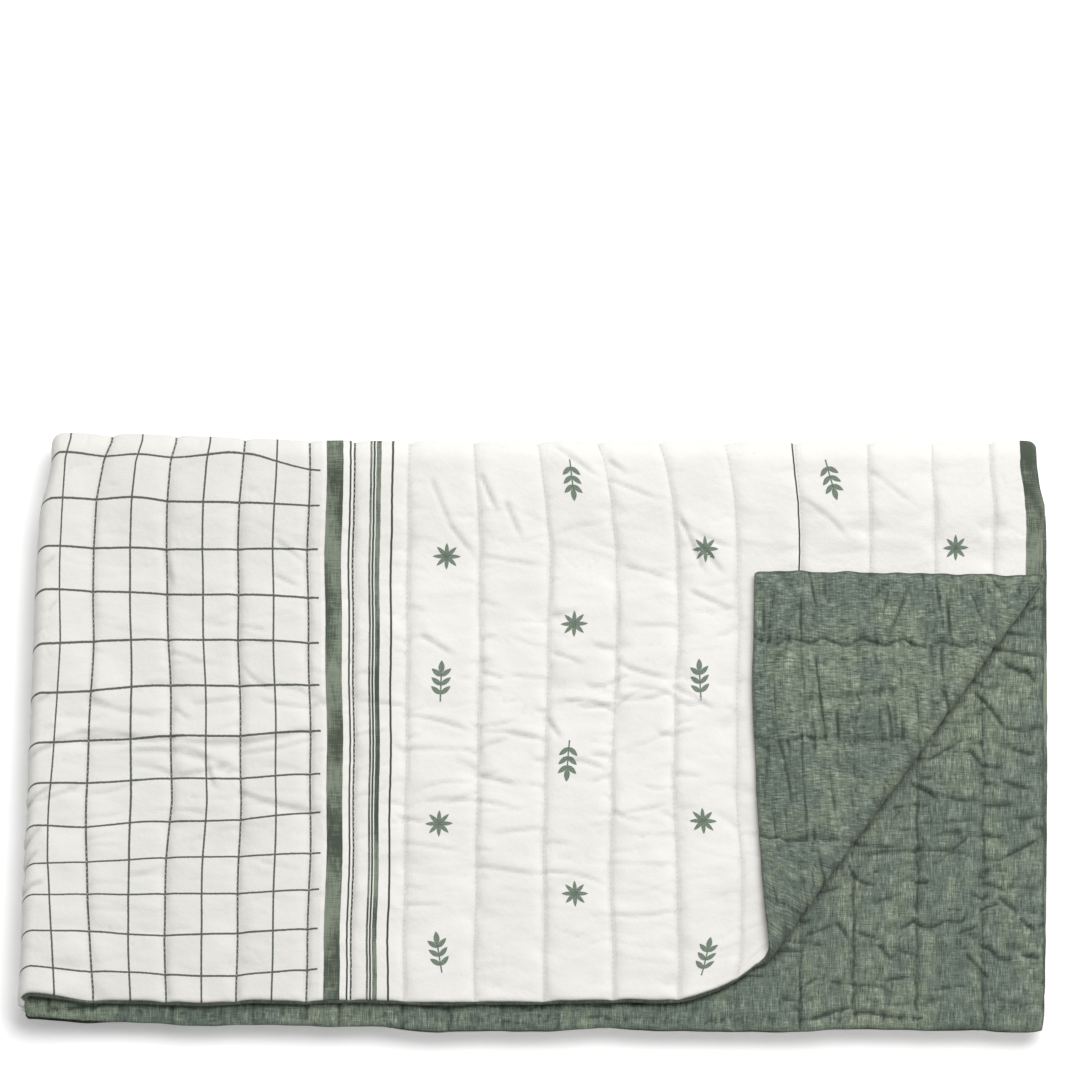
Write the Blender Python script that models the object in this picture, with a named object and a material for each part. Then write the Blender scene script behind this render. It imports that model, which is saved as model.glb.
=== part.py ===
"""A cotton quilt folded in half twice, with the front right corner of its top layer turned back.

Units are metres, +Z is up, +X runs along the folded length and the layers open towards -Y.
The quilt is first laid out flat, with u along its length, v across its width and w up from the
plane where its face meets its backing. Each flat piece is then folded point by point:

    end fold    at u = 0, on the left, brings the two ends together with the backing inside
    back fold   at v = 0 brings the two sides together
    corner      of the uppermost layer rolls over a slanting line, so its backing shows

The four layers, from the top, are u > 0, v < 0; u < 0, v < 0; u < 0, v > 0; and u > 0, v > 0.
"""

import math
from typing import NamedTuple

import bmesh
import bpy
from mathutils import Vector

# The flat quilt
HALF_LENGTH = 1.144
HALF_WIDTH = 0.650
FACE_CROWN = 0.0060
FACE_SEAM = 0.0018
BACKING_CROWN = 0.0030
BACKING_SEAM = 0.0014
PIECE_GAP = 0.0003
HEM_REACH = 0.012

# Loft lost at the filling's thin places, and how they are spread, in radians each metre
LOFT_LOSS = 0.14
THIN_TURNS_ALONG = 31.0
THIN_TURNS_ACROSS = 17.0
THIN_SLANT = 6.0
THIN_SWAY = 2.0
THIN_SWAY_TURNS = 8.0

# Sewn lines across the width, as distances from the quilt's end hems
UPPER_SEAMS = (
    0.052, 0.120, 0.194, 0.272, 0.345, 0.414, 0.487, 0.562,
    0.635, 0.713, 0.773, 0.823, 0.902, 0.981, 1.062,
)
LOWER_SEAMS = (
    0.068, 0.142, 0.213, 0.273, 0.346, 0.424, 0.486, 0.543,
    0.605, 0.665, 0.716, 0.787, 0.884, 0.975, 1.064,
)

# The stack: distances of the layers from the back fold's axis, and how the folds swell them
INNER_LAYER = 0.0072
OUTER_LAYER = 0.0154
END_SWELL = 0.45
END_SWELL_REACH = 0.11
BACK_SWELL = 0.42
BACK_SWELL_REACH = 0.13

# How the layers fail to line up
LOWER_SIDE_SHIFT = 0.010
LOWER_SHIFT_REACH = 0.57
UNDER_END_SHIFT = 0.004
END_FOLD_LEAN = 0.025
END_LEAN_REACH = 0.30
FOLD_CORNER_PULL = 0.010
END_CORNER_PULL = 0.008
CORNER_PULL_ALONG = 0.15
CORNER_PULL_ACROSS = 0.040
CORNER_BULGE = 0.008
HEM_WAVE = 0.0015
HEM_WAVE_REACH = 0.07


class Wave(NamedTuple):
    """One of the waves in the front hems: radians each metre, where it starts, and its share."""

    turns: float
    start: float
    share: float


HEM_WAVES = (Wave(turns=20.0, start=1.0, share=1.0), Wave(turns=47.0, start=2.0, share=0.6))

# The turned corner, as distances from the top layer's own corner
TURN_ON_END_HEM = 0.497
TURN_ON_SIDE_HEM = 0.291
TURN_LIFT = Vector((-0.034, 0.041))
TURN_LIFT_REACH = 0.135
TURNED_CORNER = Vector((-0.325, 0.491))
ROLL_RADIUS_AT_END = 0.0066
ROLL_RADIUS_AT_SIDE = 0.0095
ROLL_SETTLE_REACH = 0.10
SIDE_HEM_BOW = 0.009
HEM_BOW_START = 0.45
HEM_BOW_FULL = 0.95
HEM_BOW_FADE = 0.62
BOW_AT_FOOT = 0.45
BOW_RISE = 0.35

# Mesh steps
CHANNEL_STEPS = 3
LOOP_STEPS = 6
BACK_STEPS = 8
ROLL_STEPS = 6
FRONT_ROWS = 10
UNDER_ROWS = 3
TOLERANCE = 1e-6
SHARP_ANGLE = math.radians(50)

FACE_COLOUR = (0.86, 0.85, 0.81, 1.0)
BACKING_COLOUR = (0.20, 0.27, 0.21, 1.0)
CLOTH_ROUGHNESS = 0.9

MEAN_LAYER = (INNER_LAYER + OUTER_LAYER) / 2
HALF_GAP = (OUTER_LAYER - INNER_LAYER) / 2
LOOP_RADIUS = HALF_GAP * (1 + END_SWELL)
LOOP_REACH = LOOP_RADIUS * math.pi / 2
FOLDED_LENGTH = HALF_LENGTH - LOOP_REACH + LOOP_RADIUS


def clamp(value):
    return max(0.0, min(1.0, value))


def smooth(value):
    """0 below 0, 1 above 1, and an even rise between."""
    t = clamp(value)
    return t * t * (3 - 2 * t)


def bell(distance, reach):
    return math.exp(-((distance / reach) ** 2))


def swell(x, y):
    """How far apart the folds push the layers at a place, as a factor."""
    from_end = 1 - smooth((x - LOOP_RADIUS) / END_SWELL_REACH)
    from_back = 1 - smooth(-y / BACK_SWELL_REACH)
    return 1 + math.hypot(END_SWELL * from_end, BACK_SWELL * from_back)


def end_fold(u):
    """Place along x, share of the loop's height from -1 to 1, and the face's direction (x, height)."""
    if abs(u) < LOOP_REACH:
        turn = u / LOOP_RADIUS
        return LOOP_RADIUS * (1 - math.cos(turn)), math.sin(turn), (-math.cos(turn), math.sin(turn))
    side = math.copysign(1.0, u)
    return LOOP_RADIUS + abs(u) - LOOP_REACH, side, (0.0, side)


def back_reach(u):
    """How much of the width, each side of v = 0, goes round the back fold."""
    x, share, _ = end_fold(u)
    return (MEAN_LAYER + HALF_GAP * share) * swell(x, 0.0) * math.pi / 2


class TurnedCorner:
    """The roll of the top layer's corner, worked out in the plane of that layer."""

    def __init__(self):
        side_hem = back_reach(HALF_LENGTH) - HALF_WIDTH
        self.corner = Vector((FOLDED_LENGTH, side_hem))
        self.start = self.corner + Vector((0.0, TURN_ON_END_HEM))
        self.flat_end = self.corner - Vector((TURN_ON_SIDE_HEM, 0.0))
        self.end = self.flat_end + TURN_LIFT
        self.run = self.end - self.start
        self.along = self.run.normalized()
        self.out = Vector((-self.along.y, self.along.x))
        reach = self.corner + TURNED_CORNER - self.start
        self.slip = reach.dot(self.along)
        self.depth = -reach.dot(self.out) + math.pi * ROLL_RADIUS_AT_END

    def shares(self, flat):
        """How far a flat point lies along the turning line, and past it towards the corner."""
        line, side, point = self.flat_end - self.start, self.corner - self.start, flat - self.start
        area = line.cross(side)
        return point.cross(side) / area, line.cross(point) / area

    def flat_point(self, along, past):
        return self.start + (self.flat_end - self.start) * along + (self.corner - self.start) * past

    def radius(self, along):
        return ROLL_RADIUS_AT_END + (ROLL_RADIUS_AT_SIDE - ROLL_RADIUS_AT_END) * clamp(along)

    def cut_lines(self):
        """Two flat points on each line that needs its own points, from one side of the roll to the other."""
        for step in range(ROLL_STEPS + 1):
            turn = math.pi * step / ROLL_STEPS
            ends = [turn * self.radius(along) / self.depth for along in (0.0, 1.0)]
            yield self.flat_point(0.0, ends[0]), self.flat_point(1.0, ends[1])

    def lift(self, flat, along):
        """How far the cloth inside the turning line is drawn towards its lifted end."""
        line = (self.flat_end - self.start).normalized()
        inside = abs(line.cross(flat - self.start))
        return TURN_LIFT * clamp(along) * (1 - clamp(inside / TURN_LIFT_REACH)) ** 2

    def bow(self, along, past):
        """How far the turned side hem and the cloth beside it bow towards the end fold."""
        by_hem = smooth((along + past - HEM_BOW_START) / (HEM_BOW_FULL - HEM_BOW_START))
        by_corner = 1 - smooth((past - HEM_BOW_FADE) / (1 - HEM_BOW_FADE))
        by_foot = BOW_AT_FOOT + (1 - BOW_AT_FOOT) * smooth(past / BOW_RISE)
        return Vector((-SIDE_HEM_BOW * by_hem * by_corner * by_foot, 0.0))

    def place(self, flat, w):
        """Where a point of the top layer goes: in its plane, and above it."""
        along, past = self.shares(flat)
        if past <= 0:
            return flat + self.lift(flat, along), w
        radius = self.radius(along)
        run = past * self.depth
        on_line = self.start + self.run * along + self.along * self.slip * past
        if run < math.pi * radius:
            turn = run / radius
            on_line += self.bow(along, past) * smooth(turn / math.pi)
            return (
                on_line + self.out * (radius - w) * math.sin(turn),
                radius - (radius - w) * math.cos(turn),
            )
        over = run - math.pi * radius
        settled = ROLL_RADIUS_AT_END + (radius - ROLL_RADIUS_AT_END) * (1 - smooth(over / ROLL_SETTLE_REACH))
        return on_line + self.bow(along, past) - self.out * over, 2 * settled - w


CORNER = TurnedCorner()


def fold(u, v, w):
    """Where a point of the flat quilt lies once folded, with x from the end fold and y from the back fold."""
    x, share, face = end_fold(u)
    v -= LOWER_SIDE_SHIFT * smooth(-u / LOWER_SHIFT_REACH)
    reach = back_reach(u)
    layer = MEAN_LAYER + HALF_GAP * share
    if abs(v) < reach:
        turn = (1 + v / reach) * math.pi / 2
        factor = swell(x, 0.0)
        radius = layer * factor + w * face[1]
        y, height = radius * math.sin(turn), radius * math.cos(turn)
    else:
        y = reach - abs(v)
        factor = swell(x, y)
        radius = layer * factor + w * face[1]
        height = math.copysign(radius, -v)
        if u > LOOP_REACH and v < 0:
            plane, above = CORNER.place(Vector((x, y)), w)
            x, y = plane
            height = layer * factor + above
    x += w * face[0] + UNDER_END_SHIFT * smooth(v / HEM_WAVE_REACH)
    return Vector((x, y, OUTER_LAYER * factor + FACE_CROWN + height))


def settle(point):
    """The lean of the end fold, the drawn-in back corners and the wavy hems, the same in all layers."""
    x, y, z = point
    from_front = y + HALF_WIDTH
    back = bell(min(0.0, y), CORNER_PULL_ACROSS)
    x_shift = END_FOLD_LEAN * from_front / HALF_WIDTH * (1 - clamp(x / END_LEAN_REACH)) ** 2
    x_shift += FOLD_CORNER_PULL * back * bell(x, CORNER_PULL_ALONG)
    x_shift -= END_CORNER_PULL * back * bell(x - FOLDED_LENGTH, CORNER_PULL_ALONG)
    y_shift = CORNER_BULGE * back * bell(x - END_SWELL_REACH, CORNER_PULL_ALONG)
    wave = sum(part.share * math.sin(part.turns * x + part.start) for part in HEM_WAVES)
    y_shift += HEM_WAVE * wave * bell(max(0.0, from_front), HEM_WAVE_REACH)
    return Vector((x + x_shift, y + y_shift, z))


def channel_rise(u):
    """0 on a sewn line or an end hem, and 1 over the middle of each channel."""
    from_end = HALF_LENGTH - abs(u)
    lines = (0.0, *(UPPER_SEAMS if u > 0 else LOWER_SEAMS))
    before = max(line for line in lines if line <= from_end + TOLERANCE)
    after = min((line for line in lines if line > from_end + TOLERANCE), default=math.inf)
    slope = (min(after, HALF_LENGTH) - before) / CHANNEL_STEPS
    return clamp(min(from_end - before, after - from_end) / slope)


def unevenness(u, v):
    """The filling's uneven loft, kept off the layer that lies on the floor."""
    along = math.sin(THIN_TURNS_ALONG * u + THIN_SWAY * math.sin(THIN_SWAY_TURNS * v))
    thin = (1 + along * math.sin(THIN_TURNS_ACROSS * v + THIN_SLANT * u)) / 2
    resting = smooth(v / HEM_REACH) if u > 0 else 0.0
    return 1 - LOFT_LOSS * thin * (1 - resting)


def thickness(u, v, seam, crown):
    rise = min(channel_rise(u), clamp((HALF_WIDTH - abs(v)) / HEM_REACH))
    return seam + (crown - seam) * rise * unevenness(u, v)


def length_stations():
    """The flat grid's places along u: each channel in steps, and the loop of the end fold in steps."""

    def ply(seams):
        lines = (0.0, *seams, HALF_LENGTH - LOOP_REACH)
        stations = [
            before + (after - before) * step / CHANNEL_STEPS
            for before, after in zip(lines, lines[1:])
            for step in range(CHANNEL_STEPS)
        ]
        return [HALF_LENGTH - distance for distance in (*stations, lines[-1])]

    loop = [LOOP_REACH * (2 * step / LOOP_STEPS - 1) for step in range(1, LOOP_STEPS)]
    return [-u for u in ply(LOWER_SEAMS)] + loop + ply(UPPER_SEAMS)[::-1]


def width_stations(u):
    """The flat grid's places along v at this u, so that one set of rows rounds every layer's back fold."""
    reach = back_reach(u)
    inside = HALF_WIDTH - HEM_REACH
    front = [-inside + (inside - reach) * row / FRONT_ROWS for row in range(FRONT_ROWS)]
    back = [reach * (2 * step / BACK_STEPS - 1) for step in range(BACK_STEPS)]
    under = [reach + (inside - reach) * row / UNDER_ROWS for row in range(UNDER_ROWS + 1)]
    return [-HALF_WIDTH, *front, *back, *under, HALF_WIDTH]


def flat_sheet(mesh):
    """The whole quilt's flat outline as a grid, cut where the turned corner rolls."""
    columns = length_stations()
    rows = [width_stations(u) for u in columns]
    across, along = len(columns) - 1, len(rows[0]) - 1
    bmesh.ops.create_grid(mesh, x_segments=across, y_segments=along, size=0.5)
    for vertex in mesh.verts:
        column = round((vertex.co.x + 0.5) * across)
        row = round((vertex.co.y + 0.5) * along)
        vertex.co = (columns[column], rows[column][row], 0.0)
    to_flat = Vector((LOOP_REACH - LOOP_RADIUS, -back_reach(HALF_LENGTH)))
    for first, second in CORNER.cut_lines():
        line = second - first
        bmesh.ops.bisect_plane(
            mesh,
            geom=mesh.verts[:] + mesh.edges[:] + mesh.faces[:],
            dist=TOLERANCE,
            plane_co=(first + to_flat).to_3d(),
            plane_no=(-line.y, line.x, 0.0),
        )
    bmesh.ops.triangulate(mesh, faces=mesh.faces[:])


def folded_piece(name, material, seam, crown, side):
    """One half of the quilt's thickness: side is 1 for the face with its filling and -1 for the backing."""
    mesh = bmesh.new()
    flat_sheet(mesh)
    inner = mesh.verts[:]
    made = bmesh.ops.extrude_face_region(mesh, geom=mesh.faces[:], use_keep_orig=True)
    outer = [item for item in made["geom"] if isinstance(item, bmesh.types.BMVert)]
    for vertex in inner:
        vertex.co.z = side * PIECE_GAP / 2
    for vertex in outer:
        vertex.co.z = side * thickness(vertex.co.x, vertex.co.y, seam, crown)
    bmesh.ops.recalc_face_normals(mesh, faces=mesh.faces[:])
    for vertex in mesh.verts:
        vertex.co = settle(fold(*vertex.co))
    data = bpy.data.meshes.new(name)
    mesh.to_mesh(data)
    mesh.free()
    data.materials.append(material)
    data.shade_smooth()
    data.set_sharp_from_angle(angle=SHARP_ANGLE)
    return bpy.data.objects.new(name, data)


def cloth(name, colour):
    material = bpy.data.materials.new(name)
    material.use_nodes = True
    shader = material.node_tree.nodes["Principled BSDF"]
    shader.inputs["Base Color"].default_value = colour
    shader.inputs["Roughness"].default_value = CLOTH_ROUGHNESS
    shader.inputs["Metallic"].default_value = 0.0
    return material


def centre_over_origin(pieces):
    """Moves the folded pieces together, so that the origin is under the middle of their box."""
    points = [vertex.co for piece in pieces for vertex in piece.data.vertices]
    low = Vector(min(point[axis] for point in points) for axis in range(3))
    high = Vector(max(point[axis] for point in points) for axis in range(3))
    middle = (low + high) / 2
    for piece in pieces:
        for vertex in piece.data.vertices:
            vertex.co -= Vector((middle.x, middle.y, low.z))


def main():
    for old in list(bpy.data.objects):
        bpy.data.objects.remove(old)
    collection = bpy.data.collections.new("quilt")
    bpy.context.scene.collection.children.link(collection)
    pieces = [
        folded_piece("quilt_top", cloth("white cotton", FACE_COLOUR), FACE_SEAM, FACE_CROWN, 1),
        folded_piece("quilt_backing", cloth("green chambray", BACKING_COLOUR), BACKING_SEAM, BACKING_CROWN, -1),
    ]
    centre_over_origin(pieces)
    for piece in pieces:
        collection.objects.link(piece)


main()
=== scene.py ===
import math
from typing import NamedTuple

import bpy
import numpy as np
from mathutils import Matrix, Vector


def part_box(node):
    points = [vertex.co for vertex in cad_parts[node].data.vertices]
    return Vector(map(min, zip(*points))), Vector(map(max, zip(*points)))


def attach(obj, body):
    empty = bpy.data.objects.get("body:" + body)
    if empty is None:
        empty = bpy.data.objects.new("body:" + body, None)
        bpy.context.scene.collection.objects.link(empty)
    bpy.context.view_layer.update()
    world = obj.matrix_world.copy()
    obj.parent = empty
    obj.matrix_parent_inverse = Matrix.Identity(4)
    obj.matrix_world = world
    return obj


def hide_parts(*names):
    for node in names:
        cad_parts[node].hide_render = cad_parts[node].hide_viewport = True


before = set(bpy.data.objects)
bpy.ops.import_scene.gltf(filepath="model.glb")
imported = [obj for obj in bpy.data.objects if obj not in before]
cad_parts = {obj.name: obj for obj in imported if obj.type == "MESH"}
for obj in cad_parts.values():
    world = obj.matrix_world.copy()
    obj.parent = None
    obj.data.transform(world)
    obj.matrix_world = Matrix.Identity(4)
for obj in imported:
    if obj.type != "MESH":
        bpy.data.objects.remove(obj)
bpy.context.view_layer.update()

# The flat quilt: its size, the room of its layers and the insets at its hems
HALF_LENGTH = 1.144
HALF_WIDTH = 0.650
FACE_CROWN = 0.0060
FACE_PUFF = 0.0050
LEAST_HEIGHT = 0.0003
SOFT_SHARE = 0.75
HEM_ROUND = 0.006
FACE_INSET = 0.0012
INSET_AT_FOOT = 0.0026
FACE_PEEK = 0.0012
FOOT_INSET_REACH = 0.11
FOOT_INSET_PAST = 0.05
PEEK_START = 0.28
PEEK_FADE = 0.1
HIDDEN_INSET = 0.0045
UNDER_INSET = 0.0032
INSET_REACH = 0.012

# Sewn lines across the width, as distances from the quilt's end hems
UPPER_SEAMS = (
    0.052, 0.120, 0.194, 0.272, 0.345, 0.414, 0.487, 0.562,
    0.635, 0.713, 0.773, 0.823, 0.902, 0.981, 1.062,
)
LOWER_SEAMS = (
    0.068, 0.142, 0.213, 0.273, 0.346, 0.424, 0.486, 0.543,
    0.605, 0.665, 0.716, 0.787, 0.884, 0.975, 1.064,
)

# The stack and its folds
INNER_LAYER = 0.0072
OUTER_LAYER = 0.0154
END_SWELL = 0.45
END_SWELL_REACH = 0.11
BACK_SWELL = 0.42
BACK_SWELL_REACH = 0.13
LOWER_SIDE_SHIFT = 0.010
LOWER_SHIFT_REACH = 0.57
UNDER_END_SHIFT = 0.004
UNDER_SHIFT_FADE = 0.9
UNDER_FADE_REACH = 0.16
END_FOLD_LEAN = 0.025
END_LEAN_REACH = 0.30
FOLD_CORNER_PULL = 0.010
END_CORNER_PULL = 0.008
CORNER_PULL_ALONG = 0.15
CORNER_PULL_ACROSS = 0.040
CORNER_BULGE = 0.008
HEM_WAVE = 0.0015
HEM_WAVE_REACH = 0.07

# The turned corner
TURN_ON_END_HEM = 0.497
TURN_ON_SIDE_HEM = 0.291
TURN_LIFT = np.array((-0.034, 0.041))
TURN_LIFT_REACH = 0.135
TURNED_CORNER = np.array((-0.325, 0.491))
ROLL_RADIUS_AT_END = 0.0066
ROLL_RADIUS_AT_SIDE = 0.0095
ROLL_SETTLE_REACH = 0.10
SIDE_HEM_BOW = 0.009
HEM_BOW_START = 0.45
HEM_BOW_FULL = 0.95
HEM_BOW_FADE = 0.62
BOW_AT_FOOT = 0.45
BOW_RISE = 0.35

# The patchwork: panels and woven lines, as distances from the end hems
CHECK_HALF = 0.335
END_PART = 0.60
CHECK_COLUMNS = (0.0, 0.041, 0.082, 0.122, 0.163, 0.203, 0.242, 0.282, 0.321, 0.361)
CHECK_LINE = 0.0022
CHECK_FAR_PITCH = 0.045
FAR_ROWS = 16
ROW_SOFTENING = (-0.020, -0.010, 0.0, 0.010, 0.020)
ROW_END = CHECK_HALF - 0.0025
ROW_END_SOFT = 0.0005
STITCH_PITCH = 0.006

# Where the photograph's view puts the quilt
FRAME_PIXELS = 1080
METRES_PER_PIXEL = 1 / 892
VIEW_ELEVATION = math.radians(79)
ZERO_X_PIXEL = 534
ZERO_Y_PIXEL = 737
END_HEM_PIXEL = 1045
LOWER_HEM_PIXEL = 1029
FLAP_LEFT_PIXEL = 755
FLAP_TOP_PIXEL = 572
FLAP_RIGHT_PIXEL = 1043
FLAP_FOOT_PIXEL = 953

# The small waver of the cloth in its plane, and of its edges
WAVER = 0.0007
EDGE_WAVER = 0.0006
WAVER_FADE = 0.05
CORNER_ROUND = 0.0024
CORNER_ROUND_REACH = 0.010

# Creases: the reach of their two sides in widths, the flat direction that puffs over them, and
# how much deeper and narrower they are pressed than they are listed
STEEP_SIDE = 0.50
GENTLE_SIDE = 1.10
PUFF_PLACE = 1.2
PUFF_REACH = 2.2
PUFF_SHARE = 0.55
OVER_FACE = (0.5, 0.87)
OVER_LOWER_BACKING = (-0.5, 0.87)
OVER_TURNED_BACKING = (0.87, 0.5)
OVER_HEM = (1.0, 0.0)
FACE_FORCE = 1.9
BACKING_FORCE = 2.0
BACKING_NARROW = 0.75

# Gathers at the sewn lines and the side hem: least and most of each measure, or its spread
GATHER_START = (0.005, 0.03)
GATHER_STEP = (0.007, 0.026)
GATHER_WIDTH = (0.0028, 0.0046)
GATHER_FORCE = (0.25, 1.0)
SHORT_GATHER = (0.15, 0.45)
LONG_GATHER = (0.45, 1.0)
LONGEST_GATHER = 0.09
GATHER_SLOPE = 0.22
GATHER_BOW = 0.06
FACE_GATHER = 0.0026
BACKING_GATHER = 0.0038
BACKING_BUSY = 0.8
LEAST_GATHER = 0.0001
HEM_GATHER = 0.0024
HEM_GATHER_START = (0.003, 0.02)
HEM_GATHER_STEP = (0.008, 0.030)
HEM_GATHER_WIDTH = (0.0022, 0.0034)
HEM_GATHER_FORCE = (0.3, 1.0)
HEM_GATHER_REACH = (0.010, 0.034)
HEM_GATHER_LEAN = 0.12
HEM_GATHER_BOW = 0.05
HEM_GATHER_FOOT = 0.0005

# The backing's scalloped sewn line beside the end hem
SCALLOP = 0.0042
SCALLOP_PITCH = 0.052
SCALLOP_REACH = 0.03

# Steps of the meshes, and places beside each sewn line
HEM_STEP = 0.002
FACE_HEM_STEP = 0.0015
BEND_STEP = 0.0016
FRONT_STEP = 0.0034
FINE_FROM = 0.84
END_BEND = 0.02
FINE = 0.0026
CLOSE = 0.0024
LOOSE = 0.006
COARSE = 0.012
LEAST_STEP = 0.0003
FAR_STEP = 0.020
FACE_FAR_STEP = 0.013
FINE_TO = -0.14
HEM_FINE_TO = -0.56
BACK_BEND = 0.03
BEND_COUNT = 24
ROUND_PLACES = (0.0, 0.0006, 0.0018, 0.0036, HEM_ROUND)
BESIDE_SEAM = (0.0010, 0.0020, 0.0032)

HEM_START = HALF_LENGTH - HEM_ROUND
MEAN_LAYER = (INNER_LAYER + OUTER_LAYER) / 2
HALF_GAP = (OUTER_LAYER - INNER_LAYER) / 2
LOOP_RADIUS = HALF_GAP * (1 + END_SWELL)
LOOP_REACH = LOOP_RADIUS * math.pi / 2
FOLDED_LENGTH = HALF_LENGTH - LOOP_REACH + LOOP_RADIUS


class Wave(NamedTuple):
    """One of the waves in the front hems: radians each metre, where it starts, and its share."""

    turns: float
    start: float
    share: float


class CheckRow(NamedTuple):
    """One woven row of the check: its pixel height in the photograph at six of the check's columns."""

    first: float
    second: float
    third: float
    fourth: float
    sixth: float
    eighth: float


ROW_COLUMNS = (0.041, 0.082, 0.122, 0.163, 0.242, 0.321)
CHECK_ROWS = (
    CheckRow(967, 969, 971, 974, 974, 968),
    CheckRow(931, 928, 934, 935, 931, 928),
    CheckRow(895, 892, 895, 893, 892, 889),
    CheckRow(864, 861, 860, 857, 855, 853),
    CheckRow(826, 828, 822, 821, 819, 812),
    CheckRow(784, 783, 781, 777, 778, 774),
    CheckRow(744, 740, 740, 735, 736, 731),
    CheckRow(694, 692, 687, 684, 686, 685),
    CheckRow(645, 642, 640, 639, 640, 643),
    CheckRow(591, 593, 592, 594, 595, 598),
    CheckRow(548, 550, 547, 549, 550, 549),
    CheckRow(500, 501, 495, 501, 503, 505),
    CheckRow(453, 458, 452, 458, 451, 470),
)


class LineReading(NamedTuple):
    """Pixels to the right, at one pixel height, of six of the check's columns and six sewn lines."""

    height: float
    first: float
    second: float
    third: float
    fourth: float
    sixth: float
    eighth: float
    line_a: float
    line_b: float
    line_c: float
    line_d: float
    line_e: float
    line_f: float


READ_LINES = (0.041, 0.082, 0.122, 0.163, 0.242, 0.321, 0.431, 0.509, 0.582, 0.657, 0.730, 0.872)
LINE_READINGS = (
    LineReading(440, 68, 112, 142, 176, 245, 310, 410, 474, 538, 597, 659, 794),
    LineReading(460, 62, 103, 135, 170, 243, 310, 410, 476, 541, 604, 665, 796),
    LineReading(500, 61, 96, 132, 168, 240, 309, 408, 479, 547, 612, 673, 800),
    LineReading(550, 59, 93, 130, 167, 239, 308, 408, 480, 551, 617, 678, 802),
    LineReading(640, 59, 93, 131, 169, 239, 309, 407, 480, 548, 617, 679, 802),
    LineReading(700, 57, 90, 131, 171, 240, 310, 407, 479, 547, 614, 674, 802),
    LineReading(800, 50, 87, 132, 173, 242, 311, 406, 478, 545, 612, 674, 802),
    LineReading(860, 48, 88, 131, 168, 240, 311, 405, 477, 544, 611, 677, 802),
    LineReading(900, 50, 88, 129, 166, 239, 310, 405, 476, 544, 611, 678, 802),
    LineReading(940, 53, 91, 129, 165, 238, 308, 404, 475, 544, 612, 678, 802),
    LineReading(990, 55, 94, 131, 167, 237, 307, 404, 475, 544, 613, 678, 802),
)
DRIFT_FADE = 0.06
TOP_ROWS = np.linspace(-HALF_WIDTH, 0.0, 121)
HEM_WAVES = (Wave(turns=20.0, start=1.0, share=1.0), Wave(turns=47.0, start=2.0, share=0.6))


def clamp(value):
    return np.clip(value, 0.0, 1.0)


def smooth(value):
    t = clamp(value)
    return t * t * (3 - 2 * t)


def bell(distance, reach):
    return np.exp(-((distance / reach) ** 2))


# Folding


def swell(x, y):
    """How far apart the folds push the layers at a place, as a factor."""
    from_end = 1 - smooth((x - LOOP_RADIUS) / END_SWELL_REACH)
    from_back = 1 - smooth(-y / BACK_SWELL_REACH)
    return 1 + np.hypot(END_SWELL * from_end, BACK_SWELL * from_back)


def end_fold(u):
    """Place along x, share of the loop's height from -1 to 1, and the face's direction (x, height)."""
    turn = np.clip(u / LOOP_RADIUS, -math.pi / 2, math.pi / 2)
    x = LOOP_RADIUS * (1 - np.cos(turn)) + np.maximum(0.0, np.abs(u) - LOOP_REACH)
    return x, np.sin(turn), -np.cos(turn), np.sin(turn)


def back_reach(u):
    """How much of the width, each side of v = 0, goes round the back fold."""
    x, share, _, _ = end_fold(u)
    return (MEAN_LAYER + HALF_GAP * share) * swell(x, 0.0) * math.pi / 2


def cross(first, second):
    return first[..., 0] * second[..., 1] - first[..., 1] * second[..., 0]


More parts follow.
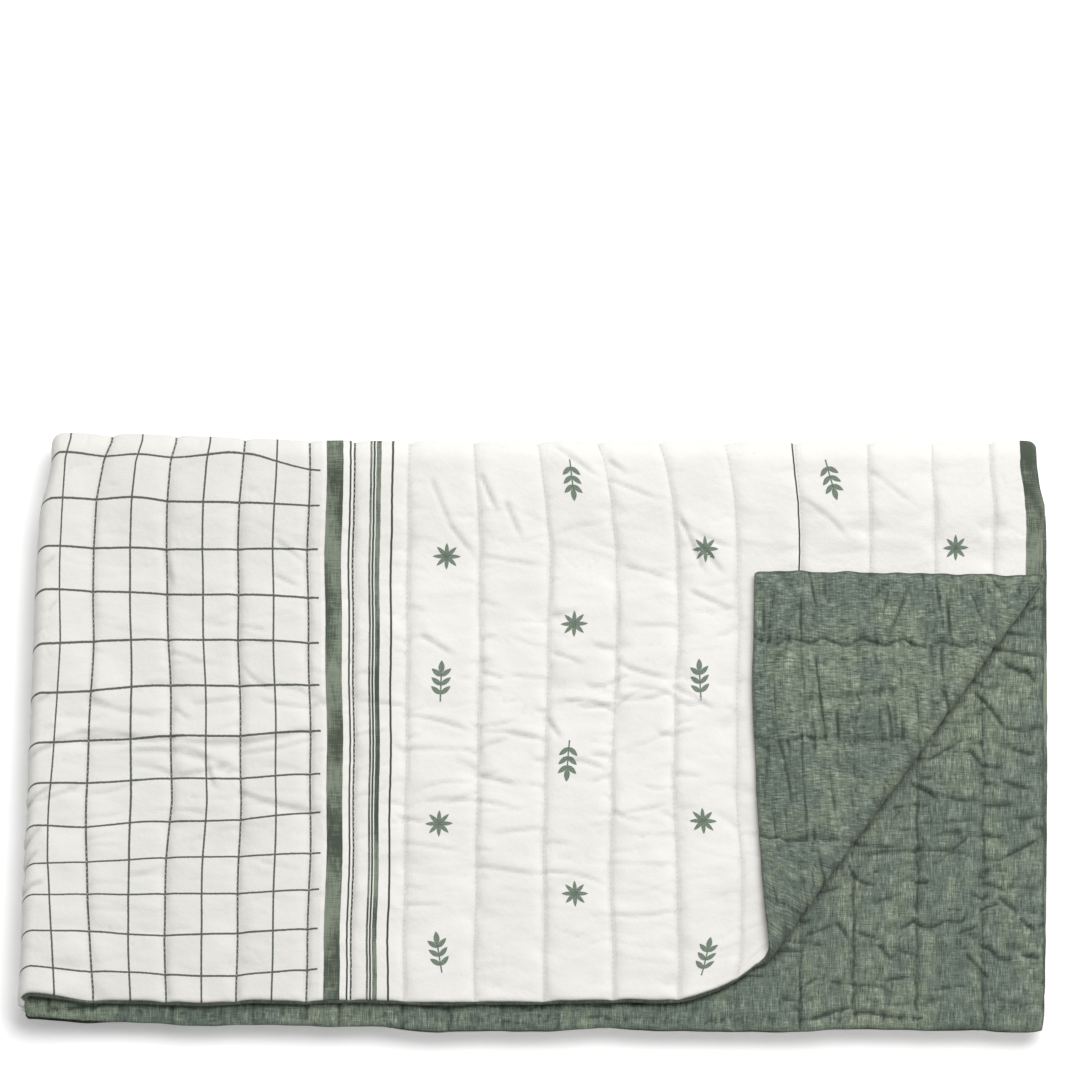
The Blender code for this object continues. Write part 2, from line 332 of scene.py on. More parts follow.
class TurnedCorner:
    """The roll of the top layer's corner, worked out in the plane of that layer."""

    def __init__(self):
        self.corner = np.array((FOLDED_LENGTH, back_reach(HALF_LENGTH) - HALF_WIDTH))
        self.start = self.corner + (0.0, TURN_ON_END_HEM)
        self.flat_end = self.corner - (TURN_ON_SIDE_HEM, 0.0)
        self.run = self.flat_end + TURN_LIFT - self.start
        self.along = self.run / np.linalg.norm(self.run)
        self.out = np.array((-self.along[1], self.along[0]))
        reach = self.corner + TURNED_CORNER - self.start
        self.slip = reach @ self.along
        self.depth = -reach @ self.out + math.pi * ROLL_RADIUS_AT_END
        self.line = self.flat_end - self.start
        self.side = self.corner - self.start

    def shares(self, flat):
        """How far flat points lie along the turning line, and past it towards the corner."""
        area = cross(self.line, self.side)
        return cross(flat - self.start, self.side) / area, cross(self.line, flat - self.start) / area

    def place(self, flat, w):
        """Where points of the top layer go: in its plane, and above it."""
        along, past = self.shares(flat)
        inside = np.abs(cross(self.line / np.linalg.norm(self.line), flat - self.start))
        pull = clamp(along) * (1 - clamp(inside / TURN_LIFT_REACH)) ** 2
        still = flat + TURN_LIFT * pull[..., None]
        radius = ROLL_RADIUS_AT_END + (ROLL_RADIUS_AT_SIDE - ROLL_RADIUS_AT_END) * clamp(along)
        run = np.maximum(0.0, past) * self.depth
        turn = np.minimum(run / radius, math.pi)
        over = run - turn * radius
        fallen = 2 * (radius - ROLL_RADIUS_AT_END) * smooth(over / ROLL_SETTLE_REACH)
        sideways = (radius - w) * np.sin(turn) - over
        rolled = self.start + self.run * along[..., None] + self.along * (self.slip * past)[..., None]
        rolled = rolled + self.out * sideways[..., None]
        by_hem = smooth((along + past - HEM_BOW_START) / (HEM_BOW_FULL - HEM_BOW_START))
        by_corner = 1 - smooth((past - HEM_BOW_FADE) / (1 - HEM_BOW_FADE))
        by_foot = BOW_AT_FOOT + (1 - BOW_AT_FOOT) * smooth(past / BOW_RISE)
        rolled[..., 0] -= SIDE_HEM_BOW * by_hem * by_corner * by_foot * smooth(turn / math.pi)
        above = radius - (radius - w) * np.cos(turn) - fallen
        turned = past > 0
        return np.where(turned[..., None], rolled, still), np.where(turned, above, w)


CORNER = TurnedCorner()


def fold(u, v, w):
    """Where points of the flat quilt lie once folded, with x from the end fold and y from the back fold."""
    x, share, face_x, face_z = end_fold(u)
    v = v - LOWER_SIDE_SHIFT * smooth(-u / LOWER_SHIFT_REACH)
    reach = back_reach(u)
    turn = np.clip(1 + v / reach, 0.0, 2.0) * math.pi / 2
    y = np.minimum(0.0, reach - np.abs(v))
    factor = swell(x, y)
    layer = (MEAN_LAYER + HALF_GAP * share) * factor
    radius = layer + w * face_z
    height = radius * np.cos(turn)
    y = y + radius * np.sin(turn)
    on_top = (u > LOOP_REACH) & (v < -reach)
    plane, above = CORNER.place(np.stack((x, y), -1), w)
    x = np.where(on_top, plane[..., 0], x) + w * face_x
    at_front = UNDER_SHIFT_FADE * bell(np.maximum(0.0, HALF_WIDTH + y), UNDER_FADE_REACH)
    x = x + UNDER_END_SHIFT * smooth(v / HEM_WAVE_REACH) * (1 - at_front)
    y = np.where(on_top, plane[..., 1], y)
    height = np.where(on_top, layer + above, height)
    return x, y, OUTER_LAYER * factor + FACE_CROWN + height


def settle(x, y, z):
    """The lean of the end fold, the drawn-in back corners and the wavy hems, the same in all layers."""
    from_front = y + HALF_WIDTH
    back = bell(np.minimum(0.0, y), CORNER_PULL_ACROSS)
    x_shift = END_FOLD_LEAN * from_front / HALF_WIDTH * (1 - clamp(x / END_LEAN_REACH)) ** 2
    x_shift += FOLD_CORNER_PULL * back * bell(x, CORNER_PULL_ALONG)
    x_shift -= END_CORNER_PULL * back * bell(x - FOLDED_LENGTH, CORNER_PULL_ALONG)
    y_shift = CORNER_BULGE * back * bell(x - END_SWELL_REACH, CORNER_PULL_ALONG)
    wave = sum(part.share * np.sin(part.turns * x + part.start) for part in HEM_WAVES)
    y_shift = y_shift + HEM_WAVE * wave * bell(np.maximum(0.0, from_front), HEM_WAVE_REACH)
    return np.stack((x + x_shift, y + y_shift, z), -1)


def top_plane(u, v):
    """Where flat points of the top layer would lie if its corner weren't turned."""
    x, _, _, _ = end_fold(u)
    return np.stack((x, back_reach(u) - np.abs(v)), -1)


def clear_of(distance, start, fade):
    """From 0 within a start distance of something to 1 once past a fade."""
    return smooth((distance - start) / fade)


def before_back_fold(v):
    """From 0 near the back fold and behind it to 1 in front of it."""
    return clear_of(-v, 0.05, 0.06)


def free_backing(u, v):
    """From 0 to 1: how clear the backing is of the layers above it."""
    _, past = CORNER.shares(top_plane(u, v))
    turned = clear_of(past * CORNER.depth, 2.2 * ROLL_RADIUS_AT_SIDE, 0.02) * (u > LOOP_REACH)
    x, y, _ = fold(u, v, np.zeros_like(u))
    in_front = CORNER.corner[1] - y
    beside = (x - CORNER.start[0]) * CORNER.out[0] + (y - CORNER.start[1]) * CORNER.out[1]
    below = clear_of(np.maximum(in_front, beside), 0.010, 0.022) * (u < -LOOP_REACH)
    return (turned + below) * before_back_fold(v)


def free_face(u, v):
    """From 0 to 1: how clear the face is of the turned corner."""
    plane = top_plane(u, v)
    beside = CORNER.corner[0] + TURNED_CORNER[0] - plane[..., 0]
    behind = plane[..., 1] - CORNER.start[1]
    return clear_of(np.maximum(beside, behind), 0.012, 0.02) * (u > 0) * before_back_fold(v)


def offset_to_frame():
    """What moves the folded quilt onto its solid, from the solid's box and two edges of the quilt."""
    low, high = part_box("quilt_top")
    hem = np.linspace(-HALF_LENGTH, -LOOP_REACH, 400)
    front = settle(*fold(hem, np.full_like(hem, -HALF_WIDTH), np.zeros_like(hem)))[:, 1].min()
    return np.array((high[0] - FOLDED_LENGTH - UNDER_END_SHIFT, low[1] - front, low[2]))


OFFSET = offset_to_frame()


def seen_heights(u):
    """The pixel heights at which one line across the top layer is seen, from its hem to the back fold."""
    place = settle(*fold(np.full_like(TOP_ROWS, u), TOP_ROWS, np.full_like(TOP_ROWS, FACE_PUFF))) + OFFSET
    up = place[:, 1] * math.sin(VIEW_ELEVATION) + place[:, 2] * math.cos(VIEW_ELEVATION)
    return place[:, 0], np.minimum.accumulate(ZERO_Y_PIXEL - up / METRES_PER_PIXEL)


def top_v(u, height):
    """Which flat place across the top layer is seen at a pixel height."""
    _, heights = seen_heights(u)
    return np.interp(-np.asarray(height), -heights, TOP_ROWS)


# Relief


def soft_noise(seed, us, vs, along, across):
    """Smooth noise, about -1 to 1, with cells of that size in metres, the same for every cloth."""
    shape = int(2 * HALF_WIDTH / across) + 5, int(2 * HALF_LENGTH / along) + 5
    grid = np.random.default_rng(seed).uniform(-1, 1, shape)

    def weights(values, low, size):
        place = (values - low) / size + 1
        index = np.floor(place).astype(int)
        t = place - index
        share = np.stack((
            -0.5 * t**3 + t**2 - 0.5 * t,
            1.5 * t**3 - 2.5 * t**2 + 1,
            -1.5 * t**3 + 2 * t**2 + 0.5 * t,
            0.5 * t**3 - 0.5 * t**2,
        ), -1)
        return index[:, None] + np.arange(-1, 3), share

    row, row_share = weights(vs, -HALF_WIDTH, across)
    column, column_share = weights(us, -HALF_LENGTH, along)
    by_row = np.einsum("rkc,rk->rc", grid[row], row_share)
    return np.einsum("rck,ck->rc", by_row[:, column], column_share)


class Trough(NamedTuple):
    """The form of a crease: depth and width, and how far it bows aside as a share of its length."""

    depth: float
    width: float
    bow: float


class Crease(NamedTuple):
    """A crease seen in the photograph, between two of its pixels."""

    x: float
    y: float
    to_x: float
    to_y: float
    depth: float = 0.0010
    width: float = 0.0036
    bow: float = 0.0

    def backing_trough(self):
        return Trough(BACKING_FORCE * self.depth, BACKING_NARROW * self.width, self.bow)


TOP_CREASES = (
    Crease(422, 635, 456, 657, 0.0012),
    Crease(480, 672, 504, 679, 0.0012),
    Crease(406, 715, 478, 735, 0.0011, bow=-0.05),
    Crease(481, 733, 539, 738, 0.0011, bow=-0.06),
    Crease(543, 716, 560, 739, 0.0016),
    Crease(550, 652, 580, 664, 0.0013),
    Crease(612, 663, 671, 677, 0.0013, bow=0.05),
    Crease(612, 698, 671, 690, bow=0.08),
    Crease(673, 685, 717, 709, 0.0015),
    Crease(565, 759, 608, 774, bow=-0.1),
    Crease(478, 776, 517, 784, 0.0013),
    Crease(406, 748, 476, 750, 0.0008),
    Crease(432, 800, 524, 811, bow=-0.05),
    Crease(400, 815, 430, 822, 0.0012),
    Crease(476, 865, 541, 874),
    Crease(541, 872, 612, 889, bow=-0.1),
    Crease(613, 913, 690, 906, 0.0008, bow=0.06),
    Crease(406, 841, 467, 851, 0.0008),
    Crease(612, 863, 671, 865, 0.0007),
    Crease(617, 815, 671, 804, 0.0009),
    Crease(404, 902, 450, 904, 0.0008),
    Crease(171, 652, 204, 661),
    Crease(240, 626, 273, 632),
    Crease(277, 575, 302, 587),
    Crease(173, 708, 190, 720, 0.0012),
    Crease(60, 742, 130, 733, 0.0013, bow=-0.08),
    Crease(98, 744, 168, 741, 0.0011),
    Crease(240, 752, 320, 735, 0.0013, bow=0.06),
    Crease(40, 800, 94, 782, 0.0012, bow=0.08),
    Crease(688, 590, 735, 612, 0.0012),
    Crease(620, 566, 668, 578),
    Crease(680, 520, 735, 548, bow=0.06),
    Crease(612, 480, 664, 500, 0.0008),
    Crease(482, 556, 540, 566, 0.0008),
    Crease(806, 500, 850, 540, bow=-0.06),
    Crease(874, 470, 925, 512, 0.0008),
    Crease(433, 480, 452, 530),
    Crease(450, 525, 475, 560, 0.0011),
    Crease(484, 475, 496, 512, 0.0017),
    Crease(505, 500, 518, 540, 0.0011),
    Crease(681, 515, 705, 575, 0.0016),
    Crease(700, 545, 725, 575, 0.0012),
    Crease(560, 445, 605, 480),
    Crease(615, 460, 632, 473),
    Crease(60, 745, 170, 738, 0.0022, width=0.0080, bow=-0.05),
    Crease(170, 740, 322, 728, 0.0022, width=0.0080, bow=0.05),
    Crease(130, 752, 240, 772, 0.0020, width=0.0070, bow=-0.08),
    Crease(235, 790, 322, 812, 0.0016, width=0.0060, bow=0.04),
    Crease(96, 700, 168, 716, 0.0014, width=0.0060, bow=0.05),
    Crease(176, 776, 232, 764, 0.0014, width=0.0055),
    Crease(205, 760, 215, 790, 0.0014),
    Crease(36, 797, 64, 785, 0.0024, bow=0.06),
    Crease(35, 838, 50, 824, 0.0020, bow=0.06),
    Crease(34, 860, 47, 849, 0.0018),
    Crease(33, 886, 56, 880, 0.0014),
    Crease(36, 752, 60, 745, 0.0018),
    Crease(38, 700, 52, 694, 0.0014),
    Crease(40, 566, 56, 556, 0.0013),
    Crease(44, 612, 58, 600, 0.0013),
    Crease(168, 548, 176, 590, 0.0009),
    Crease(280, 540, 312, 566),
    Crease(245, 668, 275, 690, 0.0013, bow=0.08),
    Crease(262, 700, 318, 706, bow=0.05),
)

FLAP_CREASES = (
    Crease(803, 599, 803, 637),
    Crease(777, 586, 769, 633, 0.0012),
    Crease(811, 574, 818, 604, 0.0016),
    Crease(886, 578, 868, 595, 0.0014),
    Crease(883, 586, 874, 619),
    Crease(916, 572, 916, 588, 0.0014),
    Crease(966, 574, 981, 594, 0.0016),
    Crease(981, 578, 996, 592, 0.0014),
    Crease(815, 652, 822, 740, 0.0020, width=0.0032),
    Crease(833, 652, 833, 680, 0.0014),
    Crease(800, 723, 799, 820, 0.0020, width=0.0032),
    Crease(811, 719, 811, 744, 0.0014),
    Crease(822, 744, 824, 797, 0.0009),
    Crease(838, 744, 840, 815, 0.0007),
    Crease(817, 688, 895, 680, 0.0012, width=0.007),
    Crease(924, 680, 950, 688, 0.0012),
    Crease(756, 733, 777, 739, 0.0014),
    Crease(770, 800, 771, 860, 0.0008),
)

LOWER_CREASES = (
    Crease(1001, 660, 1041, 673, 0.0026, width=0.0044, bow=0.08),
    Crease(977, 693, 1007, 729, 0.0026, bow=-0.04),
    Crease(1007, 729, 1032, 731, 0.0016),
    Crease(1026, 668, 1040, 685, 0.0020),
    Crease(971, 750, 982, 765, 0.0026),
    Crease(981, 765, 1003, 768, 0.0020),
    Crease(1013, 748, 1036, 755, 0.0016),
    Crease(913, 784, 940, 803, 0.0024, bow=-0.08),
    Crease(893, 808, 928, 804, 0.0016),
    Crease(856, 843, 905, 846, 0.0020, bow=0.04),
    Crease(917, 850, 954, 851, 0.0024),
    Crease(954, 850, 971, 835, 0.0016),
    Crease(982, 834, 1008, 838, 0.0016),
    Crease(1038, 839, 997, 861, 0.0020),
    Crease(850, 864, 882, 884, 0.0022, bow=0.2),
    Crease(916, 883, 931, 883, 0.0026),
    Crease(914, 920, 944, 922, 0.0026, bow=0.2),
    Crease(959, 933, 979, 926, 0.0022),
    Crease(982, 908, 1002, 902, 0.0018),
    Crease(982, 944, 1000, 957, 0.0028, bow=-0.1),
    Crease(1000, 957, 1015, 959, 0.0020),
    Crease(1023, 953, 1043, 957, 0.0028),
    Crease(1021, 918, 1036, 930, 0.0024),
    Crease(1000, 896, 1020, 912, 0.0016),
    Crease(839, 922, 851, 940, 0.0020),
    Crease(794, 940, 826, 944, 0.0016),
    Crease(887, 981, 914, 976, 0.0018),
    Crease(834, 981, 882, 988, 0.0014),
    Crease(875, 1014, 936, 1015, 0.0016, bow=0.06),
    Crease(880, 944, 895, 961, 0.0018),
    Crease(968, 953, 992, 979, 0.0018),
    Crease(930, 990, 975, 984, 0.0014),
    Crease(1000, 780, 1036, 790, 0.0012),
    Crease(930, 760, 962, 742, 0.0014),
)


def press(cloth, start, end, crease, over):
    """Presses one crease between two flat points: a trough, steep on the side that puffs over it."""
    us, vs = cloth.us, cloth.vs
    run = np.subtract(end, start)
    length = np.hypot(*run)
    middle = np.add(start, end) / 2
    reach = length / 2 + 4 * crease.width
    columns = slice(*np.searchsorted(us, (middle[0] - reach, middle[0] + reach)))
    rows = slice(*np.searchsorted(vs, (middle[1] - reach, middle[1] + reach)))
    du = us[columns][None, :] - start[0]
    dv = vs[rows][:, None] - start[1]
    along = (du * run[0] + dv * run[1]) / length**2
    aside = (dv * run[0] - du * run[1]) / length - crease.bow * length * 4 * along * (1 - along)
    # It sets in round its start, and fades over its last third and a little past its end.
    fade = smooth((along + 0.12) / 0.24) * smooth((1.1 - along) / 0.45)
    aside = aside * np.sign(run[0] * over[1] - run[1] * over[0]) / crease.width
    trough = np.exp(-((aside / np.where(aside > 0, STEEP_SIDE, GENTLE_SIDE)) ** 2))
    swelling = np.exp(-((aside - PUFF_PLACE) / PUFF_REACH) ** 2)
    cloth.height[rows, columns] += crease.depth * fade * (PUFF_SHARE * swelling - trough)


def seam_places():
    """Every sewn line's place along the quilt, between the two end hems."""
    upper = [HALF_LENGTH - line for line in UPPER_SEAMS]
    lower = [line - HALF_LENGTH for line in LOWER_SEAMS]
    return np.array(sorted((-HALF_LENGTH, *lower, *upper, HALF_LENGTH)))


SEAMS = seam_places()


def channel(us):
    """Each place's share of the way across its channel, and how far it is from the nearer sewn line."""
    index = np.clip(np.searchsorted(SEAMS, us, side="right") - 1, 0, len(SEAMS) - 2)
    width = SEAMS[index + 1] - SEAMS[index]
    share = (us - SEAMS[index]) / width
    return share, np.minimum(share, 1 - share) * width


def puckers(cloth, seed, depth, busy, over):
    """Small gathers that start at the sewn lines at uneven steps and run part of the way across."""
    rng = np.random.default_rng(seed)
    for low, high in zip(SEAMS, SEAMS[1:]):
        v = -HALF_WIDTH + rng.uniform(*GATHER_START)
        while v < HALF_WIDTH:
            from_left = rng.random() < 0.5
            share = rng.choice((rng.uniform(*SHORT_GATHER), rng.uniform(*LONG_GATHER)))
            slope = rng.normal(0, GATHER_SLOPE)
            force = depth * rng.uniform(*GATHER_FORCE) * busy(low, v)
            bow = rng.normal(0, GATHER_BOW)
            spread = rng.uniform(*GATHER_WIDTH)
            length = share * min(high - low, LONGEST_GATHER)
            near = (low if from_left else high, v)
            step = length if from_left else -length
            far = (near[0] + step, v + slope * length)
            if force > LEAST_GATHER:
                press(cloth, near, far, Trough(force, spread, bow), over(low))
            v += rng.uniform(*GATHER_STEP)


def hem_gathers(cloth, seed, depth):
    """Short creases that run in from the side hem at uneven steps."""
    rng = np.random.default_rng(seed)
    u = cloth.us[0] + rng.uniform(*HEM_GATHER_START)
    while u < cloth.us[-1]:
        reach = rng.uniform(*HEM_GATHER_REACH)
        force = depth * rng.uniform(*HEM_GATHER_FORCE)
        lean = rng.normal(0, HEM_GATHER_LEAN) * reach
        trough = Trough(force, rng.uniform(*HEM_GATHER_WIDTH), rng.normal(0, HEM_GATHER_BOW))
        start = u, HEM_GATHER_FOOT - HALF_WIDTH
        press(cloth, start, (u + lean, reach - HALF_WIDTH), trough, OVER_HEM)
        u += rng.uniform(*HEM_GATHER_STEP)


class Noise(NamedTuple):
    """One layer of smooth noise: its number, the size of its cells along and across, its share."""

    number: int
    along: float
    across: float
    share: float = 1.0


# The unevenness of the channels' sides and of their fullness, the crumple of the cloth, the wander
# of the sewn lines, and a net of fine lines with the places where it shows
STEEPNESS = (Noise(0, 0.06, 0.020, 0.8),)
LOFT = (Noise(1, 0.05, 0.03, 0.20), Noise(2, 0.2, 0.15, 0.12))
CRUMPLE = (Noise(3, 0.030, 0.012), Noise(4, 0.014, 0.0075, 0.5))
SLIDE = (Noise(5, 0.20, 0.014),)
NET = (Noise(6, 0.045, 0.018), Noise(7, 0.012, 0.010, 0.35))
NET_PLACES = (Noise(8, 0.05, 0.035, 2.2),)
NET_THREAD = 0.10
LEAST_STEEP = 1.6
MOST_STEEP = 24
HELD_REACH = 0.010


class Build(NamedTuple):
    """How one side of the quilt is puffed and creased: its heights, then the depth of its fine relief."""

    side: int
    seam: float
    puff: float
    free_puff: float
    limit: float
    free_limit: float
    crumple: float
    net: float
    steep: float
    slide: float
    seed: int


FACE = Build(
    side=1,
    seam=0.0014,
    puff=FACE_PUFF,
    free_puff=0.0068,
    limit=0.0062,
    free_limit=0.0090,
    crumple=0.00036,
    net=0.0009,
    steep=7.0,
    slide=0.0006,
    seed=21,
)
BACKING = Build(
    side=-1,
    seam=0.0008,
    puff=0.0028,
    free_puff=0.0056,
    limit=0.0040,
    free_limit=0.0078,
    crumple=0.0009,
    net=0.0022,
    steep=12.0,
    slide=0.0018,
    seed=61,
)


class Cloth:
    """One flat cloth on its grid of places, with its height over the plane between face and backing."""

    def __init__(self, us, vs, build):
        self.us, self.vs, self.build = us, vs, build
        u, v = np.meshgrid(us, vs)
        free = free_face(u, v) if build.side > 0 else free_backing(u, v)
        puff = build.puff + (build.free_puff - build.puff) * free
        self.limit = build.limit + (build.free_limit - build.limit) * free
        slide = build.slide * self.noise(SLIDE)
        if build.side < 0:
            # The sewn line beside the end hem is drawn in at uneven steps.
            cusps = 1 - np.abs(np.sin(math.pi * vs / SCALLOP_PITCH + 1.5 * np.sin(7 * vs)))
            slide = slide - SCALLOP * cusps[:, None] * bell(us - SEAMS[-2], SCALLOP_REACH)[None, :]
        share, from_seam = channel(us[None, :] + slide)
        steep = np.clip(build.steep * (1 + self.noise(STEEPNESS)), LEAST_STEEP, MOST_STEEP)
        pillow = 1 - np.abs(2 * share - 1) ** steep
        self.height = build.seam + (puff - build.seam) * pillow * (1 + self.noise(LOFT))
        # Beside the sewn lines the cloth is held, and its crumple and net are weaker.
        held = smooth(from_seam / HELD_REACH)
        self.height += build.crumple * self.noise(CRUMPLE) * (0.3 + 0.7 * held) * (0.6 + 0.8 * free)
        net = clamp(1 - np.abs(self.noise(NET)) / NET_THREAD) ** 1.5
        self.height -= build.net * net * smooth(self.noise(NET_PLACES) - 0.1) * (0.4 + 0.6 * held)

    def noise(self, layers):
        """The sum of some layers of noise over the cloth."""
        total = 0.0
        for layer in layers:
            cells = soft_noise(self.build.seed + layer.number, self.us, self.vs, layer.along, layer.across)
            total = total + layer.share * cells
        return total

    def finish(self):
        """Keeps the creases within the layers' room, and rounds the hems."""
        from_side = HALF_WIDTH - np.abs(self.vs)
        from_end = HALF_LENGTH - np.abs(self.us)
        edge = np.minimum(from_side[:, None], from_end[None, :])
        rounded = np.sqrt(1 - (1 - clamp(edge / HEM_ROUND)) ** 2)
        knee = SOFT_SHARE * self.limit
        over = np.maximum(self.height - knee, 0)
        soft = knee + (self.limit - knee) * np.tanh(over / (self.limit - knee))
        kept = np.maximum(np.where(over > 0, soft, self.height), LEAST_HEIGHT)
        if self.build.side > 0:
            resting = (self.vs > 0)[:, None] & (self.us > 0)[None, :]
            kept = np.where(resting, np.minimum(kept, FACE_CROWN), kept)
        self.height = kept * rounded

    def at(self, u, v):
        """The height at any flat places, between the grid's own."""
        i = np.clip(np.searchsorted(self.us, u) - 1, 0, len(self.us) - 2)
        j = np.clip(np.searchsorted(self.vs, v) - 1, 0, len(self.vs) - 2)
        s = (u - self.us[i]) / (self.us[i + 1] - self.us[i])
        t = (v - self.vs[j]) / (self.vs[j + 1] - self.vs[j])
        h = self.height
        near = h[j, i] * (1 - s) + h[j, i + 1] * s
        far = h[j + 1, i] * (1 - s) + h[j + 1, i + 1] * s
        return near * (1 - t) + far * t


def pixel_to_u(x):
    return HALF_LENGTH - (END_HEM_PIXEL - x) * METRES_PER_PIXEL


def lower_v(y):
    """Which flat place across the lower layer is seen at a pixel height."""
    return (LOWER_HEM_PIXEL - y) * METRES_PER_PIXEL / math.sin(VIEW_ELEVATION) - HALF_WIDTH


class Drift:
    """How far the cloth of the top layer drifts along the quilt, from the lines read in the photograph."""

    def __init__(self):
        # The drift falls to nothing behind the end fold and short of the end hem.
        self.us = np.array((-0.05, 0.0, *READ_LINES, 0.96))
        self.pull = np.zeros((len(self.us), len(TOP_ROWS)))
        heights = [reading.height for reading in LINE_READINGS]
        for number, u in enumerate(READ_LINES):
            across, seen = seen_heights(u)
            read = np.interp(seen, heights, [reading[number + 1] for reading in LINE_READINGS])
            self.pull[number + 2] = (read - ZERO_X_PIXEL) * METRES_PER_PIXEL - across
        self.pull[1] = self.pull[2] * 0.5

    def at(self, u, v):
        i = np.clip(np.searchsorted(self.us, u) - 1, 0, len(self.us) - 2)
        s = clamp((u - self.us[i]) / (self.us[i + 1] - self.us[i]))
        row = (v + HALF_WIDTH) / (TOP_ROWS[1] - TOP_ROWS[0])
        j = np.clip(row.astype(int), 0, len(TOP_ROWS) - 2)
        t = clamp(row - j)
        near = self.pull[i, j] * (1 - s) + self.pull[i + 1, j] * s
        far = self.pull[i, j + 1] * (1 - s) + self.pull[i + 1, j + 1] * s
        return (near * (1 - t) + far * t) * (1 - smooth(v / DRIFT_FADE))


DRIFT = Drift()


def wander(u, v):
    """The drift of the cloth in its own plane, shared by everything sewn together.

    The numbers in each sine are radians for each metre along or across, then where it starts.
    """
    from_end = HALF_LENGTH - np.abs(u)
    from_side = HALF_WIDTH - np.abs(v)
    waver_u = WAVER * (np.sin(19 * v + 6 * u) * np.sin(5 * u + 1) + 0.7 * np.sin(47 * v + 15 * u))
    waver_v = WAVER * np.sin(33 * u + 6 * v)
    waver_u = waver_u * clamp(from_end / WAVER_FADE)
    waver_v = waver_v * clamp(from_side / WAVER_FADE)
    end_wave = np.sin(74 * v) * np.sin(11 * v + 1) + 0.4 * np.sin(163 * v)
    side_wave = np.sin(66 * u) * np.sin(9 * u + 2) + 0.4 * np.sin(151 * u)
    edge_u = EDGE_WAVER * end_wave * bell(from_end, WAVER_FADE)
    edge_v = EDGE_WAVER * side_wave * bell(from_side, WAVER_FADE)
    corner = CORNER_ROUND * np.exp(-(from_end + from_side) / CORNER_ROUND_REACH)
    shift_u = DRIFT.at(u, v) + waver_u + edge_u - np.sign(u) * corner
    shift_v = waver_v + edge_v - np.sign(v) * corner
    return u + shift_u, v + shift_v


def face_inset(u):
    """How far the face stops short of the side hem, or peeks past it under the lower layer's."""
    foot = HALF_LENGTH - TURN_ON_SIDE_HEM
    by_foot = bell(np.minimum(0, u - foot), FOOT_INSET_REACH) * (u < foot + FOOT_INSET_PAST)
    upper = FACE_INSET + (INSET_AT_FOOT - FACE_INSET) * by_foot
    seen = smooth((-u - PEEK_START) / PEEK_FADE)
    peek = FACE_PEEK * clamp(0.6 + 0.8 * np.sin(14 * u + 1) * np.sin(37 * u)) * seen
    return np.where(u > 0, upper, HIDDEN_INSET * (1 - seen) - peek)


def folded(u, v, w, side=0):
    """Flat places and their signed heights, folded and set on the solid; the face, side 1, is inset."""
    if side > 0:
        by_hem = 1 - smooth((HALF_WIDTH - np.abs(v)) / INSET_REACH)
        v = v + by_hem * np.where(v < 0, face_inset(u), -UNDER_INSET)
    u, v = wander(u, v)
    return settle(*fold(u, v, w)) + OFFSET


# Meshes

# How the valleys' depth is measured, for the shade painted in them
VALLEY_ROUNDS = 8
VALLEY_START = 0.0003
VALLEY_DEPTH = 0.0010


def stations(*spans, beside=()):
    """Places along one direction, from spans of (from, to, step), always with the sewn lines among them.

    Where the step is small, places at the distances in `beside` join each sewn line.
    """
    places = []
    for low, high, step in spans:
        inner = [seam for seam in SEAMS if low < seam < high] if step < COARSE else []
        marks = [low, *inner, high]
        for start, end in zip(marks, marks[1:]):
            count = max(1, round((end - start) / step))
            places.extend(np.linspace(start, end, count, endpoint=False))
        if step <= CLOSE:
            places.extend(seam + side * off for seam in inner for off in beside for side in (-1, 1))
    places.append(spans[-1][1])
    places = np.sort(places)
    return places[np.concatenate(([True], np.diff(places) > LEAST_STEP))]


def hem_stations(step, fine_to=-BACK_BEND, far_step=FAR_STEP):
    """Places across the width, close together in front, at the back fold and where the hems are rounded."""
    low = [step_in - HALF_WIDTH for step_in in ROUND_PLACES]
    high = [HALF_WIDTH - step_in for step_in in reversed(ROUND_PLACES)]
    front = np.linspace(low[-1], fine_to, round((fine_to - low[-1]) / step), endpoint=False)
    behind = np.linspace(fine_to, -BACK_BEND, round((-BACK_BEND - fine_to) / COARSE), endpoint=False)
    bend = np.linspace(-BACK_BEND, BACK_BEND, BEND_COUNT, endpoint=False)
    under = np.linspace(BACK_BEND, high[0], round((high[0] - BACK_BEND) / far_step), endpoint=False)
    return np.array((*low[:-1], *front, *behind, *bend, *under, *high))


def grid_faces(rows, columns, order=(0, 1, 2, 3)):
    """The quads of a grid of points; the order of their corners sets which side is the outside."""
    index = np.arange(rows * columns).reshape(rows, columns)
    corners = (index[:-1, :-1], index[:-1, 1:], index[1:, 1:], index[1:, :-1])
    return np.stack([corners[place].ravel() for place in order], -1)


def mesh_object(name, points, faces, material, uvs):
    """An object from points, quads or triangles of the same count, and flat maps by name."""
    mesh = bpy.data.meshes.new(name)
    sides = faces.shape[1]
    mesh.vertices.add(len(points))
    mesh.vertices.foreach_set("co", np.ascontiguousarray(points, dtype=np.float32).ravel())
    mesh.loops.add(faces.size)
    mesh.loops.foreach_set("vertex_index", np.ascontiguousarray(faces, dtype=np.int32).ravel())
    mesh.polygons.add(len(faces))
    mesh.polygons.foreach_set("loop_start", np.arange(0, faces.size, sides, dtype=np.int32))
    mesh.update(calc_edges=True)
    for key, values in uvs.items():
        layer = mesh.uv_layers.new(name=key)
        layer.uv.foreach_set("vector", np.ascontiguousarray(values[faces.ravel()], dtype=np.float32).ravel())
    mesh.validate()
    mesh.shade_smooth()
    mesh.materials.append(material)
    piece = bpy.data.objects.new(name, mesh)
    bpy.context.scene.collection.objects.link(piece)
    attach(piece, "root")
    return piece


